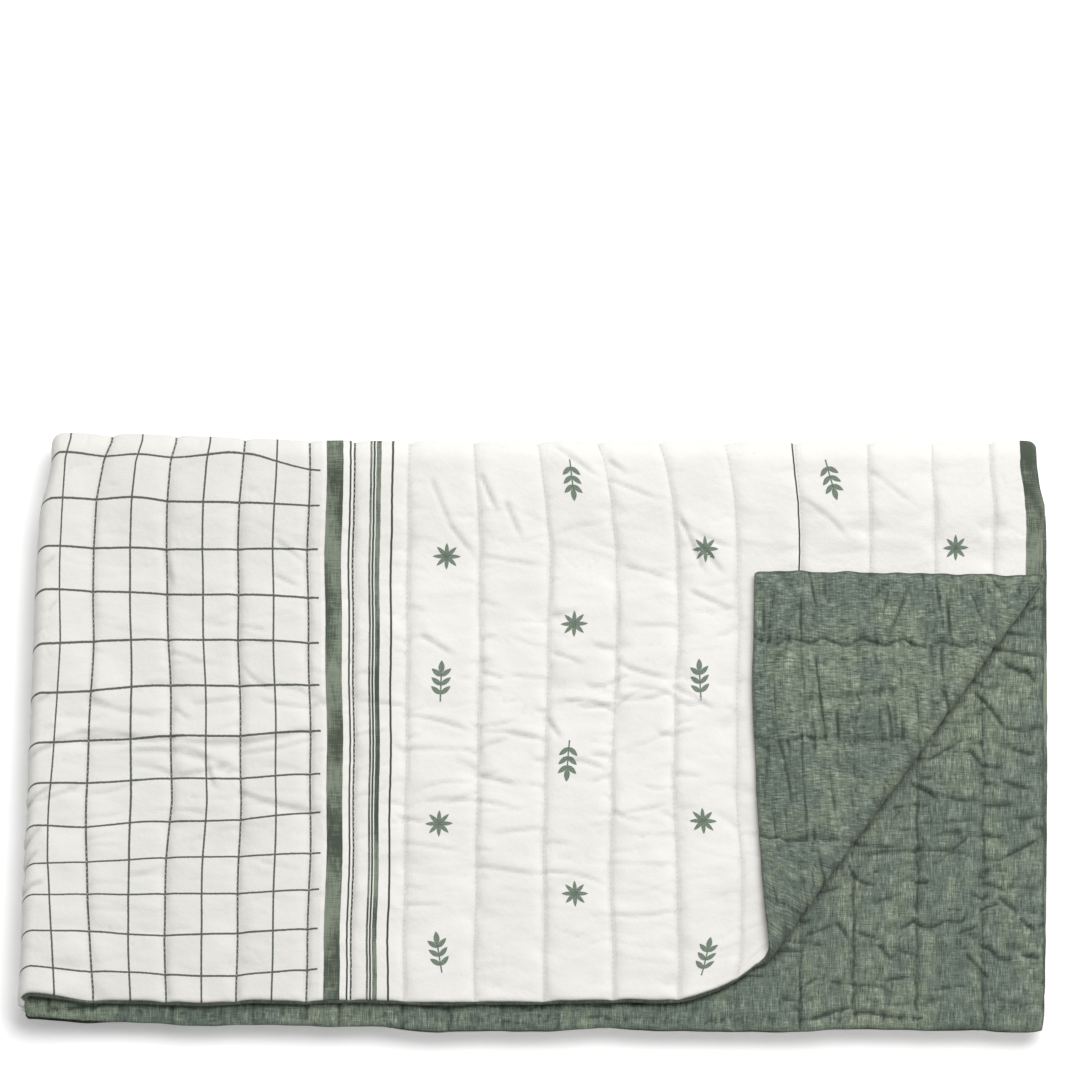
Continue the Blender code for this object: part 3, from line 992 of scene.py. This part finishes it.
def blur(values, rounds):
    """A grid with each value replaced by its neighbours' mean, some rounds over."""
    for _ in range(rounds):
        padded = np.pad(values, 1, mode="edge")
        values = (padded[1:-1, :-2] + padded[1:-1, 2:] + padded[:-2, 1:-1] + padded[2:, 1:-1]) / 4
    return values


def cloth_object(name, cloth, material, extra=None):
    """The folded sheet of one cloth, with its flat maps and how deep its valleys are, which sets the shade
    painted in them.
    """
    u, v = np.meshgrid(cloth.us, cloth.vs)
    side = cloth.build.side
    points = folded(u, v, side * cloth.height, side).reshape(-1, 3)
    faces = grid_faces(*u.shape, order=(0, 1, 2, 3) if side > 0 else (3, 2, 1, 0))
    sewn = np.interp(cloth.us, SEAMS, np.arange(len(SEAMS)))
    # How deep each valley is, from 0 to 1, kept in the sewn map for the materials' painted shade.
    valley = clamp((blur(cloth.height, VALLEY_ROUNDS) - cloth.height - VALLEY_START) / VALLEY_DEPTH)
    uvs = {
        "flat": np.stack((u, v), -1).reshape(-1, 2),
        "sewn": np.stack((np.broadcast_to(sewn, u.shape), valley), -1).reshape(-1, 2),
    }
    if extra:
        uvs.update(extra(u, v))
    return mesh_object(name, points, faces, material, uvs)


def check_map(u, v):
    """Whole numbers along the woven lines of the check."""
    along = np.interp(np.abs(u), CHECK_COLUMNS, np.arange(len(CHECK_COLUMNS)))
    rows = np.array(CHECK_ROWS).T
    rows = np.array([top_v(place, heights) for place, heights in zip(ROW_COLUMNS, rows)]).T
    before = rows[0] - CHECK_FAR_PITCH
    after = rows[-1] + CHECK_FAR_PITCH * np.arange(1, FAR_ROWS + 1)[:, None]
    rows = np.vstack((before, rows, after))
    across = np.empty_like(u)
    spread = np.array(ROW_SOFTENING)
    for column in range(u.shape[1]):
        lines = [np.interp(u[0, column] + spread, ROW_COLUMNS, row).mean() for row in rows]
        across[:, column] = np.interp(v[:, column], lines, np.arange(len(lines)))
    return {"check": np.stack((along, across), -1).reshape(-1, 2)}


# Materials

DULL_GLOSS = 0.25
SOFT_SHEEN = 0.5


class Shader:
    """A material and short ways to add nodes to it."""

    def __init__(self, name, roughness=0.9, sheen=0.0):
        self.material = bpy.data.materials.new(name)
        self.material.use_nodes = True
        self.tree = self.material.node_tree
        self.surface = self.tree.nodes["Principled BSDF"]
        self.surface.inputs["Roughness"].default_value = roughness
        self.surface.inputs["Specular IOR Level"].default_value = DULL_GLOSS
        self.surface.inputs["Sheen Weight"].default_value = sheen
        self.surface.inputs["Sheen Roughness"].default_value = SOFT_SHEEN

    def node(self, kind, settings=None, **inputs):
        node = self.tree.nodes.new(kind)
        for key, value in (settings or {}).items():
            setattr(node, key, value)
        for key, value in inputs.items():
            self.put(node.inputs[key], value)
        return node

    def put(self, socket, value):
        if isinstance(value, bpy.types.NodeSocket):
            self.tree.links.new(value, socket)
        else:
            socket.default_value = value

    def math(self, operation, *values):
        node = self.tree.nodes.new("ShaderNodeMath")
        node.operation = operation
        for socket, value in zip(node.inputs, values):
            self.put(socket, value)
        return node.outputs[0]

    def times(self, first, second):
        return self.math("MULTIPLY", first, second)

    def plus(self, first, second):
        return self.math("ADD", first, second)

    def minus(self, first, second):
        return self.math("SUBTRACT", first, second)

    def size(self, value):
        """The value without its sign."""
        return self.math("ABSOLUTE", value)

    def weighted(self, *pairs):
        """The sum of values, each times its weight."""
        total = None
        for value, weight in pairs:
            part = self.times(value, weight)
            total = part if total is None else self.plus(total, part)
        return total

    def fit(self, value, low, high, to_low=0.0, to_high=1.0):
        """A soft step between two values, from one result to another."""
        node = self.tree.nodes.new("ShaderNodeMapRange")
        node.interpolation_type = "SMOOTHSTEP"
        for socket, number in zip(node.inputs, (value, low, high, to_low, to_high)):
            self.put(socket, number)
        return node.outputs[0]

    def mix(self, share, first, second, blend="MIX"):
        node = self.tree.nodes.new("ShaderNodeMix")
        node.data_type = "RGBA"
        node.blend_type = blend
        self.put(node.inputs["Factor"], share)
        colour_sockets = [socket for socket in node.inputs if socket.type == "RGBA"]
        self.put(colour_sockets[0], first)
        self.put(colour_sockets[1], second)
        return next(socket for socket in node.outputs if socket.type == "RGBA")

    def uv(self, name):
        return self.node("ShaderNodeUVMap", {"uv_map": name}).outputs[0]

    def parts(self, vector):
        node = self.tree.nodes.new("ShaderNodeSeparateXYZ")
        self.put(node.inputs[0], vector)
        return node.outputs[0], node.outputs[1]

    def noise(self, vector, scale, detail=2.0, rough=0.5):
        """Noise with about `scale` cells for each metre along and across."""
        scaled = self.node("ShaderNodeVectorMath", {"operation": "MULTIPLY"})
        self.put(scaled.inputs[0], vector)
        self.put(scaled.inputs[1], (*scale, 1.0))
        inputs = {"Vector": scaled.outputs[0], "Scale": 1.0, "Detail": detail, "Roughness": rough}
        return self.node("ShaderNodeTexNoise", **inputs).outputs["Fac"]

    def bump(self, height, distance):
        node = self.node("ShaderNodeBump", Distance=distance, Height=height)
        self.put(self.surface.inputs["Normal"], node.outputs[0])

    def colour(self, value):
        self.put(self.surface.inputs["Base Color"], value)


# Linear colours of the cloths and threads
WHITE = (0.714, 0.704, 0.676, 1.0)
CHECK_WHITE = (0.670, 0.661, 0.629, 1.0)
# WHITE_SHADE is the greyer tone of the cloth's cloudy patches and also the painted shade in its valleys.
WHITE_SHADE = (0.536, 0.518, 0.482, 1.0)
# STITCH_SHADE is painted shade in the dips at the stitches.
STITCH_SHADE = (0.447, 0.433, 0.406, 1.0)
LINE_GREEN = (0.045, 0.052, 0.042, 1.0)
BAND_GREEN = (0.194, 0.225, 0.171, 1.0)
BAND_SHADE = (0.058, 0.072, 0.055, 1.0)
BACKING_LIGHT = (0.298, 0.344, 0.279, 1.0)
BACKING_MIDDLE = (0.128, 0.156, 0.125, 1.0)
# BACKING_DARK is the dark of the chambray's threads and also the painted shade in its valleys and stitch
# dips.
BACKING_DARK = (0.041, 0.054, 0.043, 1.0)
MOTIF_GREEN = (0.189, 0.242, 0.189, 1.0)
MOTIF_DARK = (0.106, 0.136, 0.106, 1.0)
THREAD_WHITE = (0.710, 0.701, 0.655, 1.0)
THREAD_GREEN = (0.285, 0.323, 0.266, 1.0)
THREAD_SHADE = (0.62, 0.61, 0.56, 1.0)
COOL_TINT = (0.76, 0.80, 0.82, 1.0)
WARM_TINT = (1.14, 1.14, 1.05, 1.0)
FLOOR_WHITE = (0.92, 0.92, 0.92, 1.0)
PURE_WHITE = (1.0, 1.0, 1.0, 1.0)


def plain_weave(shader, flat, run, thread):
    """Crossing threads of a width, each even over a run: shares for those along and across."""
    long_way = shader.noise(flat, (1 / run, 1 / thread), 2.0, 0.6)
    cross_way = shader.noise(flat, (1 / thread, 1 / run), 2.0, 0.6)
    return long_way, cross_way


def stitch_dip_shade(shader, flat):
    """1 at the small dips that the running stitches would pull into the sewn lines: a mask for the shade
    painted there.
    """
    line, _ = shader.parts(shader.uv("sewn"))
    _, v = shader.parts(flat)
    off = shader.size(shader.minus(line, shader.math("ROUND", line)))
    near = shader.fit(off, 0.006, 0.020, 1.0, 0.0)
    step = shader.math("PINGPONG", shader.math("DIVIDE", v, STITCH_PITCH), 0.5)
    return shader.times(near, shader.fit(step, 0.24, 0.42))


def white_cotton(shader, flat, white):
    """The colour of the washed white cloth, with painted shade in its valleys and in the dips at its
    stitches.
    """
    _, valley = shader.parts(shader.uv("sewn"))
    cloudy = shader.noise(flat, (14.0, 14.0), 3.0, 0.6)
    tone = shader.mix(shader.fit(cloudy, 0.35, 0.75, 0.0, 0.20), white, WHITE_SHADE)
    # Painted shade in the valleys: the deeper the valley, the nearer the colour goes to WHITE_SHADE.
    tone = shader.mix(shader.times(valley, 0.65), tone, WHITE_SHADE)
    # Painted shade in the dips at the stitches.
    return shader.mix(shader.times(stitch_dip_shade(shader, flat), 0.40), tone, STITCH_SHADE)


def cloth_bump(shader, flat, threads, cells, crumple, distance):
    """Relief of the threads and of a fine crumple over them."""
    fine = shader.noise(flat, (cells, cells), 4.0, 0.65)
    shader.bump(shader.plus(threads, shader.times(fine, crumple)), distance)


def cotton_bump(shader, flat):
    long_way, cross_way = plain_weave(shader, flat, 0.006, 0.0008)
    cloth_bump(shader, flat, shader.plus(long_way, cross_way), 160.0, 4.0, 0.00018)


class Stripe(NamedTuple):
    """A woven stripe across the field panel: its middle's distance from the end hem, and its width."""

    middle: float
    width: float


THIN_STRIPES = (
    Stripe(0.7777, 0.0021),
    Stripe(0.7732, 0.0020),
    Stripe(0.7513, 0.0022),
    Stripe(0.7311, 0.0024),
    Stripe(0.2750, 0.0018),
)
WIDE_STRIPES = (
    Stripe(0.7950, 0.0185),
    Stripe(0.7548, 0.0024),
    Stripe(0.7463, 0.0053),
    Stripe(0.0083, 0.0186),
)
STRIPE_SOFT = 0.00035
LINE_SOFT = 0.0004


def stripe_mask(shader, from_end, stripes):
    """1 on any of the stripes, from the distance to the end hem."""
    total = None
    for stripe in stripes:
        off = shader.size(shader.minus(from_end, stripe.middle))
        half = stripe.width / 2
        inside = shader.fit(off, half - STRIPE_SOFT, half + STRIPE_SOFT, 1.0, 0.0)
        total = inside if total is None else shader.math("MAXIMUM", total, inside)
    return total


def uneven(shader, flat, cells, width):
    """A small shift of a woven line, up to half of `width` each way."""
    return shader.times(shader.minus(shader.noise(flat, cells), 0.5), width)


def field_material():
    shader = Shader("striped white cotton")
    flat = shader.uv("flat")
    u, _ = shader.parts(flat)
    wobble = uneven(shader, flat, (30.0, 90.0), 0.0010)
    from_end = shader.minus(HALF_LENGTH, shader.size(shader.plus(u, wobble)))
    white = white_cotton(shader, flat, WHITE)
    long_way, cross_way = plain_weave(shader, flat, 0.02, 0.0012)
    patches = shader.noise(flat, (26.0, 12.0), 3.0, 0.6)
    threads = shader.weighted((long_way, 1.0), (cross_way, 1.0), (patches, 2.2))
    threads = shader.fit(threads, 1.75, 2.45)
    band = shader.mix(threads, BAND_SHADE, BAND_GREEN)
    colour = shader.mix(stripe_mask(shader, from_end, WIDE_STRIPES), white, band)
    line = shader.mix(threads, LINE_GREEN, BAND_SHADE)
    shader.colour(shader.mix(stripe_mask(shader, from_end, THIN_STRIPES), colour, line))
    cotton_bump(shader, flat)
    return shader.material


def check_material():
    shader = Shader("checked white cotton")
    flat = shader.uv("flat")
    u, _ = shader.parts(flat)
    along, across = shader.parts(shader.uv("check"))
    ragged = uneven(shader, flat, (420.0, 420.0), 0.0011)

    def line(coordinate, pitch):
        off = shader.size(shader.minus(coordinate, shader.math("ROUND", coordinate)))
        metres = shader.plus(shader.times(off, pitch), ragged)
        return shader.fit(metres, CHECK_LINE / 2 - LINE_SOFT, CHECK_LINE / 2 + LINE_SOFT, 1.0, 0.0)

    inside = shader.fit(shader.size(u), ROW_END, ROW_END + ROW_END_SOFT, 1.0, 0.0)
    rows = shader.times(line(across, CHECK_FAR_PITCH), inside)
    lines = shader.math("MAXIMUM", line(along, CHECK_COLUMNS[1]), rows)
    shade = shader.noise(flat, (500.0, 500.0))
    ink = shader.mix(shader.fit(shade, 0.3, 0.7), LINE_GREEN, BAND_SHADE)
    shader.colour(shader.mix(shader.times(lines, 0.93), white_cotton(shader, flat, CHECK_WHITE), ink))
    cotton_bump(shader, flat)
    return shader.material


def chambray_material():
    """Green warp and pale weft: fine threads, slubs and uneven patches of both."""
    shader = Shader("green chambray", sheen=0.12)
    flat = shader.uv("flat")
    _, valley = shader.parts(shader.uv("sewn"))
    long_way, cross_way = plain_weave(shader, flat, 0.017, 0.0012)
    fine_long, fine_cross = plain_weave(shader, flat, 0.005, 0.0010)
    slub_long, slub_cross = plain_weave(shader, flat, 0.030, 0.0040)
    blotch = shader.noise(flat, (90.0, 60.0), 5.0, 0.7)
    threads = shader.weighted(
        (long_way, 0.70),
        (cross_way, 1.30),
        (fine_long, 0.45),
        (fine_cross, 0.45),
        (slub_long, 0.35),
        (slub_cross, 0.35),
        (blotch, 0.90),
    )
    colour = shader.mix(shader.fit(threads, 2.20, 2.74), BACKING_MIDDLE, BACKING_LIGHT)
    colour = shader.mix(shader.fit(threads, 2.26, 1.78), colour, BACKING_DARK)
    cloudy = shader.noise(flat, (9.0, 9.0), 3.0, 0.6)
    streaks = shader.noise(flat, (48.0, 11.0), 3.0, 0.6)
    patches = shader.fit(shader.plus(cloudy, streaks), 0.82, 1.24)
    colour = shader.mix(1.0, colour, shader.mix(patches, COOL_TINT, WARM_TINT), "MULTIPLY")
    # Painted shade in the creases and valleys, towards BACKING_DARK.
    colour = shader.mix(shader.times(valley, 0.90), colour, BACKING_DARK)
    # Painted shade in the dips at the stitches.
    shader.colour(shader.mix(shader.times(stitch_dip_shade(shader, flat), 0.4), colour, BACKING_DARK))
    cloth_bump(shader, flat, threads, 150.0, 3.0, 0.00022)
    return shader.material


def thread_material(name, light, dark):
    """Cotton thread in two tones with a fine grain."""
    shader = Shader(name, sheen=0.1)
    place = shader.node("ShaderNodeTexCoord").outputs["Object"]
    grain = shader.noise(place, (900.0, 900.0), 2.0)
    shader.colour(shader.mix(shader.fit(grain, 0.35, 0.65), dark, light))
    shader.bump(grain, 0.0001)
    return shader.material


# Pieces


def build_face_cloth(us, vs):
    cloth = Cloth(us, vs, FACE)

    def busy(u, v):
        """Gathers are strongest in front, in the middle of the field and near the end fold."""
        middle = bell(u - 0.55, 0.26) * bell(v + 0.33, 0.15)
        left = bell(u - 0.10, 0.16) * bell(v + 0.36, 0.13)
        return 0.22 + 0.85 * float(max(middle, 0.9 * left))

    puckers(cloth, FACE.seed + 7, FACE_GATHER, busy, lambda u: OVER_FACE)
    for crease in TOP_CREASES:
        places = pixel_to_u(crease.x), pixel_to_u(crease.to_x)
        start, end = ((u, float(top_v(u, y))) for u, y in zip(places, (crease.y, crease.to_y)))
        press(cloth, start, end, Trough(FACE_FORCE * crease.depth, crease.width, -crease.bow), OVER_FACE)
    cloth.finish()
    return cloth


def build_backing_cloth(us, vs):
    cloth = Cloth(us, vs, BACKING)

    def over(u):
        return OVER_TURNED_BACKING if u > 0 else OVER_LOWER_BACKING

    puckers(cloth, BACKING.seed + 7, BACKING_GATHER, lambda u, v: BACKING_BUSY, over)
    if us[0] < 0:
        hem_gathers(cloth, BACKING.seed + 9, HEM_GATHER)
    for crease in LOWER_CREASES:
        start = -pixel_to_u(crease.x), lower_v(crease.y)
        end = -pixel_to_u(crease.to_x), lower_v(crease.to_y)
        press(cloth, start, end, crease.backing_trough(), OVER_LOWER_BACKING)
    by_end = TURN_ON_SIDE_HEM / (FLAP_FOOT_PIXEL - FLAP_TOP_PIXEL)
    by_side = TURN_ON_END_HEM / (FLAP_RIGHT_PIXEL - FLAP_LEFT_PIXEL)
    for crease in FLAP_CREASES:
        start, end = (
            (HALF_LENGTH - (y - FLAP_TOP_PIXEL) * by_end, (x - FLAP_LEFT_PIXEL) * by_side - HALF_WIDTH)
            for x, y in ((crease.x, crease.y), (crease.to_x, crease.to_y))
        )
        press(cloth, start, end, crease.backing_trough(), OVER_TURNED_BACKING)
    cloth.finish()
    return cloth


class Stitch(NamedTuple):
    """The size of one stitch, and the share of the stitches that haven't sunk out of sight."""

    length: float
    half_width: float
    rise: float
    share: float


STITCH_ASIDE = 0.00025
STITCH_ALONG = 0.0004
STITCH_LEAN = 0.05


def running_stitches(name, cloth, lines, v_high, stitch, material):
    """Small spindle-shaped stitches along sewn lines, each sunk a little into the cloth, with the shade of
    its dip painted on the cloth.
    """
    steps = np.arange(STITCH_PITCH / 2 - HALF_WIDTH, v_high, STITCH_PITCH)
    u, v = (part.ravel() for part in np.meshgrid(lines, steps))
    rng = np.random.default_rng(3)
    kept = rng.random(u.shape) < stitch.share
    u, v = u[kept], v[kept]
    u = u + rng.normal(0, STITCH_ASIDE, u.shape)
    v = v + rng.normal(0, STITCH_ALONG, v.shape)
    lean = rng.normal(0, STITCH_LEAN, u.shape)
    lift = cloth.at(u, v)
    side = cloth.build.side
    rings = ((-0.5, 0.0), (-0.25, 1.0), (0.25, 1.0), (0.5, 0.0))
    around = ((1.0, 0.1), (0.0, 1.0), (-1.0, 0.1), (0.0, -0.8))
    points = []
    for share, thick in rings:
        corners = around if thick else ((0.0, -1.0),)
        for aside, up in corners:
            places_u = u + aside * stitch.half_width * thick + lean * share * stitch.length
            places_v = v + share * stitch.length
            points.append(folded(places_u, places_v, side * (lift + up * stitch.rise), side))
    per = len(points)
    points = np.stack(points, 1).reshape(-1, 3)
    first, ring_a, ring_b, last = 0, 1, 5, 9
    faces = []
    for k in range(len(around)):
        n = (k + 1) % len(around)
        faces.append((first, ring_a + n, ring_a + k))
        faces.append((ring_a + k, ring_a + n, ring_b + n))
        faces.append((ring_a + k, ring_b + n, ring_b + k))
        faces.append((last, ring_b + k, ring_b + n))
    faces = np.array(faces)
    if side < 0:
        faces = faces[:, ::-1]
    every = (np.arange(len(u)) * per)[:, None, None] + faces[None]
    return mesh_object(name, points, every.reshape(-1, 3), material, {})


def placed(u, v, angle, x, y):
    """A patch's own places, turned and then moved to its foot on the flat cloth."""
    cos, sin = math.cos(angle), math.sin(angle)
    return u + x * cos - y * sin, v + x * sin + y * cos


def leaf(u, v, angle, length, width):
    """The flat places of one pointed leaf, as rows across it."""
    along, aside = np.meshgrid(np.linspace(0, 1, 9), np.linspace(-1, 1, 5), indexing="ij")
    return placed(u, v, angle, along * length, aside * width / 2 * np.sin(math.pi * along**0.85) ** 0.8)


def bar(u, v, angle, length, width):
    """The flat places of one straight stem."""
    along, aside = np.meshgrid(np.linspace(0, 1, 13), (-0.5, 0.0, 0.5), indexing="ij")
    return placed(u, v, angle, along * length, aside * width)


def sprig(u, v, angle, size):
    """A stem with pairs of leaves and one at its tip."""
    patches = [bar(u, v, angle, size * 0.72, size * 0.035)]
    for place in (0.18, 0.40, 0.62):
        foot = placed(u, v, angle, size * place, 0.0)
        patches += [leaf(*foot, angle + side * 0.85, size * 0.30, size * 0.12) for side in (-1, 1)]
    tip = placed(u, v, angle, size * 0.70, 0.0)
    return [*patches, leaf(*tip, angle, size * 0.32, size * 0.14)]


def star(u, v, size):
    """Eight short leaves round a middle."""
    return [leaf(u, v, math.pi / 4 * k, size / 2, size * 0.15) for k in range(8)]


# The woven motifs: places and sizes on the flat field panel
MOTIF_START = 0.470
MOTIF_PITCH = (0.145, 0.155)
MOTIF_COLUMNS = 5
MOTIF_ROWS = range(-4, 5)
MOTIF_SHIFT = 0.02
MOTIF_SPREAD = 0.004
MOTIF_TURN = 0.12
MOTIF_FROM_HEM = 0.04
STAR_SIZE = 0.030
SPRIG_SIZE = 0.046
SPRIG_FOOT = -0.02
MOTIF_LIFT = 0.00036


def motif_layout():
    """Sprigs and stars in a half-drop over the field panel, turned a little this way and that."""
    rng = np.random.default_rng(11)
    patches = []
    for column in range(MOTIF_COLUMNS):
        for row in MOTIF_ROWS:
            u = MOTIF_START + column * MOTIF_PITCH[0] + rng.normal(0, MOTIF_SPREAD)
            drop = row + 0.5 * (column % 2)
            v = drop * MOTIF_PITCH[1] + MOTIF_SHIFT + rng.normal(0, MOTIF_SPREAD)
            if abs(v) > HALF_WIDTH - MOTIF_FROM_HEM:
                continue
            if (row + column) % 2:
                patches += star(u, v, STAR_SIZE)
            else:
                angle = math.pi / 2 + rng.normal(0, MOTIF_TURN) + (math.pi if row % 2 else 0)
                patches += sprig(*placed(u, v, angle, SPRIG_FOOT, 0.0), angle, SPRIG_SIZE)
    return patches


def woven_motifs(cloth, material):
    points, faces, count = [], [], 0
    for u, v in motif_layout():
        points.append(folded(u, v, cloth.at(u, v) + MOTIF_LIFT).reshape(-1, 3))
        faces.append(grid_faces(*u.shape, order=(0, 3, 2, 1)) + count)
        count += u.size
    return mesh_object("woven_motifs", np.concatenate(points), np.concatenate(faces), material, {})


# The turned-up hem, from the backing over the edge: how far in from the hem, and how high
HEM_TURN = ((0.0, 0.0), (-0.0004, 0.0009), (-0.0002, 0.0020), (0.0006, 0.0030))
HEM_LANDING = 0.0014
HEM_LIFT = 0.0004
HEM_FROM_FOLD = 0.004


def hem_wrap(name, back, check, field, material):
    """The backing turned up over the top layer's side hem, as a narrow strip on the edge of the face."""
    us = back.us[back.us > HEM_FROM_FOLD]
    landing = face_inset(us) + HEM_LANDING
    inner = landing - HALF_WIDTH
    on_face = np.where(us < CHECK_HALF, check.at(us, inner), field.at(us, inner))
    steps = np.array([*(np.full_like(us, step) for step, _ in HEM_TURN), landing])
    rises = np.array([*(np.full_like(us, rise) for _, rise in HEM_TURN), on_face + HEM_LIFT])
    u = np.broadcast_to(us, steps.shape)
    v = steps - HALF_WIDTH
    flat = np.stack((u, v), -1).reshape(-1, 2)
    # The strip's sewn map is 0.5 throughout: no stitch dips, and painted valley shade at half strength all
    # along.
    uvs = {"flat": flat, "sewn": np.full_like(flat, 0.5)}
    return mesh_object(name, folded(u, v, rises).reshape(-1, 3), grid_faces(*u.shape), material, uvs)


def build_quilt():
    check = check_material()
    field = field_material()
    chambray = chambray_material()
    white_thread = thread_material("white thread", THREAD_WHITE, THREAD_SHADE)
    green_thread = thread_material("pale green thread", THREAD_GREEN, BACKING_MIDDLE)
    motif_thread = thread_material("woven green thread", MOTIF_GREEN, MOTIF_DARK)

    face_rows = hem_stations(FINE, far_step=FACE_FAR_STEP)
    check_us = stations(
        (-CHECK_HALF, -END_BEND, COARSE), (-END_BEND, END_BEND, BEND_STEP), (END_BEND, CHECK_HALF, FINE)
    )
    right_us = stations((CHECK_HALF, HEM_START, FINE), (HEM_START, HALF_LENGTH, FACE_HEM_STEP))
    left_us = stations((-HALF_LENGTH, -HEM_START, HEM_STEP), (-HEM_START, -CHECK_HALF, COARSE))
    check_cloth = build_face_cloth(check_us, face_rows)
    right_cloth = build_face_cloth(right_us, face_rows)
    left_cloth = build_face_cloth(left_us, hem_stations(COARSE))
    panels = [
        cloth_object("check_panel", check_cloth, check, check_map),
        cloth_object("field_panel_upper", right_cloth, field),
        cloth_object("field_panel_lower", left_cloth, field),
    ]

    end_us = stations(
        (-HALF_LENGTH, -HEM_START, HEM_STEP), (-HEM_START, -END_PART, CLOSE), beside=BESIDE_SEAM
    )
    front_us = stations((-END_PART, -END_BEND, FRONT_STEP), (-END_BEND, 0.0, HEM_STEP))
    upper_us = stations(
        (0.0, END_BEND, HEM_STEP),
        (END_BEND, FINE_FROM, LOOSE),
        (FINE_FROM, HEM_START, CLOSE),
        (HEM_START, HALF_LENGTH, HEM_STEP),
        beside=BESIDE_SEAM,
    )
    lower_back = build_backing_cloth(end_us, hem_stations(CLOSE, fine_to=FINE_TO))
    front_back = build_backing_cloth(front_us, hem_stations(CLOSE, fine_to=HEM_FINE_TO))
    upper_back = build_backing_cloth(upper_us, hem_stations(CLOSE, fine_to=FINE_TO))
    backings = (
        (cloth_object("backing_lower_end", lower_back, chambray), HALF_LENGTH - END_PART),
        (cloth_object("backing_lower", front_back, chambray), END_PART),
        (cloth_object("backing_upper", upper_back, chambray), HALF_LENGTH),
    )
    wrap = hem_wrap("backing_hem", upper_back, check_cloth, right_cloth, chambray)

    upper = SEAMS[(SEAMS > CHECK_HALF) & (SEAMS < HALF_LENGTH)]
    middle = SEAMS[(SEAMS > 0) & (SEAMS < CHECK_HALF)]
    lower = SEAMS[(SEAMS < -END_PART) & (SEAMS > -HALF_LENGTH)]
    turned = SEAMS[(SEAMS > HALF_LENGTH - TURN_ON_SIDE_HEM) & (SEAMS < HALF_LENGTH)]
    stitch = Stitch(length=0.0028, half_width=0.00040, rise=0.00032, share=0.9)
    small = Stitch(length=0.0022, half_width=0.00036, rise=0.00030, share=0.75)
    sunk = Stitch(length=0.0019, half_width=0.00036, rise=0.00020, share=0.45)
    face_sewing = [
        running_stitches("field_stitches", right_cloth, upper, HALF_WIDTH, stitch, white_thread),
        running_stitches("check_stitches", check_cloth, middle, HALF_WIDTH, small, white_thread),
    ]
    back_sewing = [
        running_stitches("lower_backing_stitches", lower_back, lower, 0.0, sunk, green_thread),
        running_stitches("turned_backing_stitches", upper_back, turned, 0.0, sunk, green_thread),
    ]
    motifs = woven_motifs(right_cloth, motif_thread)

    for panel, length in zip(panels, (2 * CHECK_HALF, HALF_LENGTH - CHECK_HALF, HALF_LENGTH - CHECK_HALF)):
        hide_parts("quilt_top")
    for part, length in backings:
        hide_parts("quilt_backing")


# Camera, floor and light

CAMERA_DISTANCE = 40.0
FLOOR_SIZE = 12.0
FLOOR_DEPTH = 0.0004
FLOOR_GLOW = 0.20
ROOM_LIGHT = 0.38
KEY_PLACE = (1.50, 2.25, 5.10)
KEY_SIZE = 4.4
KEY_POWER = 387.0


def build_camera():
    """A long lens, nearly straight down, with the quilt low in the frame as in the photograph."""
    middle = FRAME_PIXELS / 2
    right_of_middle = (middle - ZERO_X_PIXEL) * METRES_PER_PIXEL
    behind_middle = (ZERO_Y_PIXEL - middle) * METRES_PER_PIXEL / math.sin(VIEW_ELEVATION)
    target = Vector((right_of_middle, behind_middle, 0.0))
    away = Vector((0.0, -math.cos(VIEW_ELEVATION), math.sin(VIEW_ELEVATION)))
    data = bpy.data.cameras.new("camera")
    data.sensor_width = 36.0
    data.lens = data.sensor_width * CAMERA_DISTANCE / (FRAME_PIXELS * METRES_PER_PIXEL)
    data.clip_end = 5 * CAMERA_DISTANCE
    camera = bpy.data.objects.new("camera", data)
    camera.location = target + away * CAMERA_DISTANCE
    camera.rotation_euler = away.to_track_quat("Z", "Y").to_euler()
    bpy.context.scene.collection.objects.link(camera)
    bpy.context.scene.camera = camera


def build_floor():
    bpy.ops.mesh.primitive_plane_add(size=FLOOR_SIZE, location=(0.0, 0.0, -FLOOR_DEPTH))
    floor = bpy.context.object
    floor.name = "floor"
    shader = Shader("pale floor", roughness=0.95)
    shader.colour(FLOOR_WHITE)
    shader.put(shader.surface.inputs["Emission Color"], PURE_WHITE)
    shader.put(shader.surface.inputs["Emission Strength"], FLOOR_GLOW)
    floor.data.materials.append(shader.material)


def build_light():
    """An even white room, and one large square light behind the quilt on the right."""
    world = bpy.data.worlds.new("studio")
    world.use_nodes = True
    background = world.node_tree.nodes["Background"]
    background.inputs["Color"].default_value = PURE_WHITE
    background.inputs["Strength"].default_value = ROOM_LIGHT
    bpy.context.scene.world = world
    data = bpy.data.lights.new("key", "AREA")
    data.shape = "SQUARE"
    data.size = KEY_SIZE
    data.energy = KEY_POWER
    light = bpy.data.objects.new("key", data)
    light.location = KEY_PLACE
    light.rotation_euler = Vector(KEY_PLACE).to_track_quat("Z", "Y").to_euler()
    bpy.context.scene.collection.objects.link(light)
    bpy.context.scene.view_settings.view_transform = "Standard"


build_camera()
build_floor()
build_light()
build_quilt()
